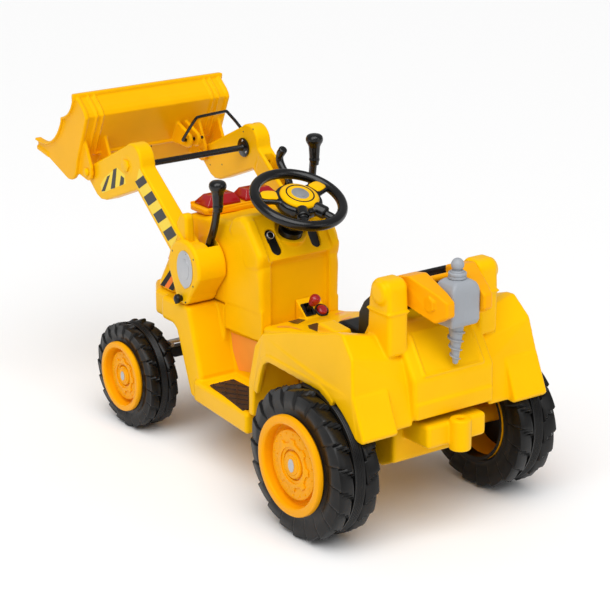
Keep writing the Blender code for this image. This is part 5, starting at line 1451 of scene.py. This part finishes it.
def drill_case():
    """The drill's housing: its shoulders arch in to the top. Height, half width, front, rear."""
    rings = []
    for z, half, front, rear in ((0.39, 0.029, 0.119, 0.16), (0.4, 0.0312, 0.1115, 0.164),
                                 (0.448, 0.0312, 0.1112, 0.164), (0.454, 0.0305, 0.1118, 0.1636),
                                 (0.46, 0.0287, 0.113, 0.1626), (0.466, 0.0255, 0.1155, 0.1605),
                                 (0.4705, 0.019, 0.1195, 0.156), (0.472, 0.0125, 0.1245, 0.15)):
        rings.append([(half, front, z), (half, rear, z), (-half, rear, z), (-half, front, z)])
    return rounded(loft(rings), 0.0045, 50, 4)


def make_drill():
    arms = rounded(cross_rod(DRILL_PIVOT, (-0.12, 0.12), 0.006, 40), 0.0008)
    boss = rounded(prism(arc(DRILL_TILT, 0.015, 30.0, 330.0, 5), (0.04, 0.064)), 0.0012, 30, 2)
    arms = join(arms, *both(drill_arm()), *both(boss))
    arms = cut(arms, cross_rod(DRILL_TILT, (-0.05, 0.05), 0.0066))
    show(moulded(arms, FINE_VOXEL, 2, 60000), "drill_fork", AMBER, "drill_arms", "drill_arms")
    trunnion = cross_rod(DRILL_TILT, (-0.048, 0.048), 0.006, 40)
    grooves = [block(around(x, 0.0007), (0.163, 0.166), (0.398, 0.452)) for x in (-0.004, 0.004)]
    bore = rod((0, DRILL_AXIS_Y, 0.36), (0, DRILL_AXIS_Y, 0.5), 0.0071)
    body = cut(join(drill_case(), trunnion), bore, *grooves)
    show(moulded(body, FINE_VOXEL, 2, 50000), "drill_case", GREY, "drill_housing", "drill_housing")
    make_bit()


def make_bit():
    """The grey toy bit: ball top, stepped base, shank and a conical core with a screw flight."""
    profile = [(0, 0.508), (0.0035, 0.5076), (0.0068, 0.506), (0.0096, 0.5028), (0.0112, 0.4992),
               (0.0115, 0.496), (0.011, 0.4926), (0.0096, 0.49), (0.0074, 0.4885), (0.0072, 0.4868),
               (0.011, 0.4862), (0.0118, 0.4852), (0.0118, 0.4838), (0.015, 0.4832), (0.016, 0.482),
               (0.016, 0.479), (0.0148, 0.4782), (0.0148, 0.4766), (0.016, 0.4758), (0.016, 0.4728),
               (0.006, 0.4724), (0.006, 0.3896), (0.014, 0.3892), (0.0146, 0.3878), (0.014, 0.3866)]
    top, bottom = 0.3866, 0.3185
    core_r, taper = 0.0135, 0.0087
    steps = 12
    for i in range(steps + 1):
        share = i / steps
        profile.append((core_r - taper * share, top - 0.001 - (top - bottom - 0.001) * share))
    profile += [(0.003, 0.3165), (0, 0.316)]
    core = lathe(profile, (0, DRILL_AXIS_Y, 0), Z_AXIS, 72)
    turns, per_turn = 3.6, 48
    count = int(turns * per_turn)
    rings = []
    for i in range(count + 1):
        share = i / count
        angle = 2 * math.pi * turns * share
        height = top - 0.0065 - (top - bottom - 0.01) * share
        inner = core_r - taper * (top - height) / (top - bottom) - 0.0012
        fade = min(1.0, 12 * share, 12 * (1 - share) + 0.15)
        reach = inner + 0.0012 + (0.0044 - 0.0006 * share) * fade
        out = Vector((math.cos(angle), math.sin(angle), 0))
        middle = Vector((0, DRILL_AXIS_Y, height))
        section = ((inner, 0.0021), (reach - 0.0007, 0.0011), (reach, 0.0), (reach - 0.0007, -0.0011),
                   (inner, -0.0021))
        rings.append([middle + out * far + Z_AXIS * rise for far, rise in section])
    show(group(core, loft(rings)), "bit_and_ball", GREY, "drill_bit", "drill_bit")


# ---------------------------------------------------------------- studio
FLOOR_HALF = 60.0                  # far enough that its edge is never in view
WORLD_LIGHT = 0.34
SKY_LIGHT = 2.55
SKY_FROM = Vector((0.9, 1.2, 2.6))
CAMERA_LENS = 124.25               # the camera that was fitted to the photograph
CAMERA_PLACE = (2.2187, 2.7682 + DATUM_Y, 1.5675)
CAMERA_TILT = math.radians(71.562)
CAMERA_TURN = math.radians(144.204)


def place_in_scene(obj):
    bpy.context.scene.collection.objects.link(obj)
    return obj


def make_stage():
    bm = bmesh.new()
    bmesh.ops.create_grid(bm, x_segments=1, y_segments=1, size=FLOOR_HALF)
    mesh = bpy.data.meshes.new("floor")
    bm.to_mesh(mesh)
    bm.free()
    floor = place_in_scene(bpy.data.objects.new("floor", mesh))
    floor.location = (0, 0, -0.0006)
    paper = bpy.data.materials.new("studio_floor")
    paper.use_nodes = True
    shader = paper.node_tree.nodes["Principled BSDF"]
    shader.inputs["Base Color"].default_value = (0.95, 0.95, 0.95, 1.0)
    shader.inputs["Roughness"].default_value = 0.75
    shader.inputs["Specular IOR Level"].default_value = 0.2
    mesh.materials.append(paper)


def area_light(name, place, size, watts, target=(0.0, 0.0, 0.25)):
    light = bpy.data.lights.new(name, "AREA")
    light.shape = "DISK"
    light.size = size
    light.energy = watts
    made = place_in_scene(bpy.data.objects.new(name, light))
    made.location = place
    made.rotation_euler = (Vector(target) - Vector(place)).to_track_quat("-Z", "Y").to_euler()


def make_studio():
    make_stage()
    world = bpy.data.worlds.new("studio")
    world.use_nodes = True
    background = world.node_tree.nodes["Background"]
    background.inputs["Color"].default_value = (1.0, 1.0, 1.0, 1.0)
    background.inputs["Strength"].default_value = WORLD_LIGHT
    bpy.context.scene.world = world
    sun = bpy.data.lights.new("sky", "SUN")
    sun.energy = SKY_LIGHT
    sun.angle = math.radians(60.0)
    sky = place_in_scene(bpy.data.objects.new("sky", sun))
    sky.rotation_euler = SKY_FROM.to_track_quat("Z", "Y").to_euler()
    area_light("key", (2.4, 0.9, 2.0), 1.0, 9)
    area_light("back_fill", (-1.2, 2.9, 1.6), 1.4, 6)
    camera = bpy.data.cameras.new("camera")
    camera.lens = CAMERA_LENS
    camera.sensor_width = 36.0
    seen = place_in_scene(bpy.data.objects.new("camera", camera))
    seen.location = CAMERA_PLACE
    seen.rotation_euler = (CAMERA_TILT, 0.0, CAMERA_TURN)
    bpy.context.scene.camera = seen
    bpy.context.scene.view_settings.view_transform = "Standard"


def make_digger():
    make_wheels()
    make_lower_body()
    make_floor_mats()
    make_front_body()
    make_dash_plates()
    make_lights()
    make_pivot_housings()
    make_arms()
    make_lift_levers()
    make_bucket()
    make_tilt_gear()
    make_steering_wheel()
    make_hub_cover()
    make_column()
    make_front_axle()
    make_rear_body()
    make_seat()
    make_shifter()
    make_horn()
    make_pedal()
    make_labels()
    make_drive()
    make_drill()


make_digger()
make_studio()
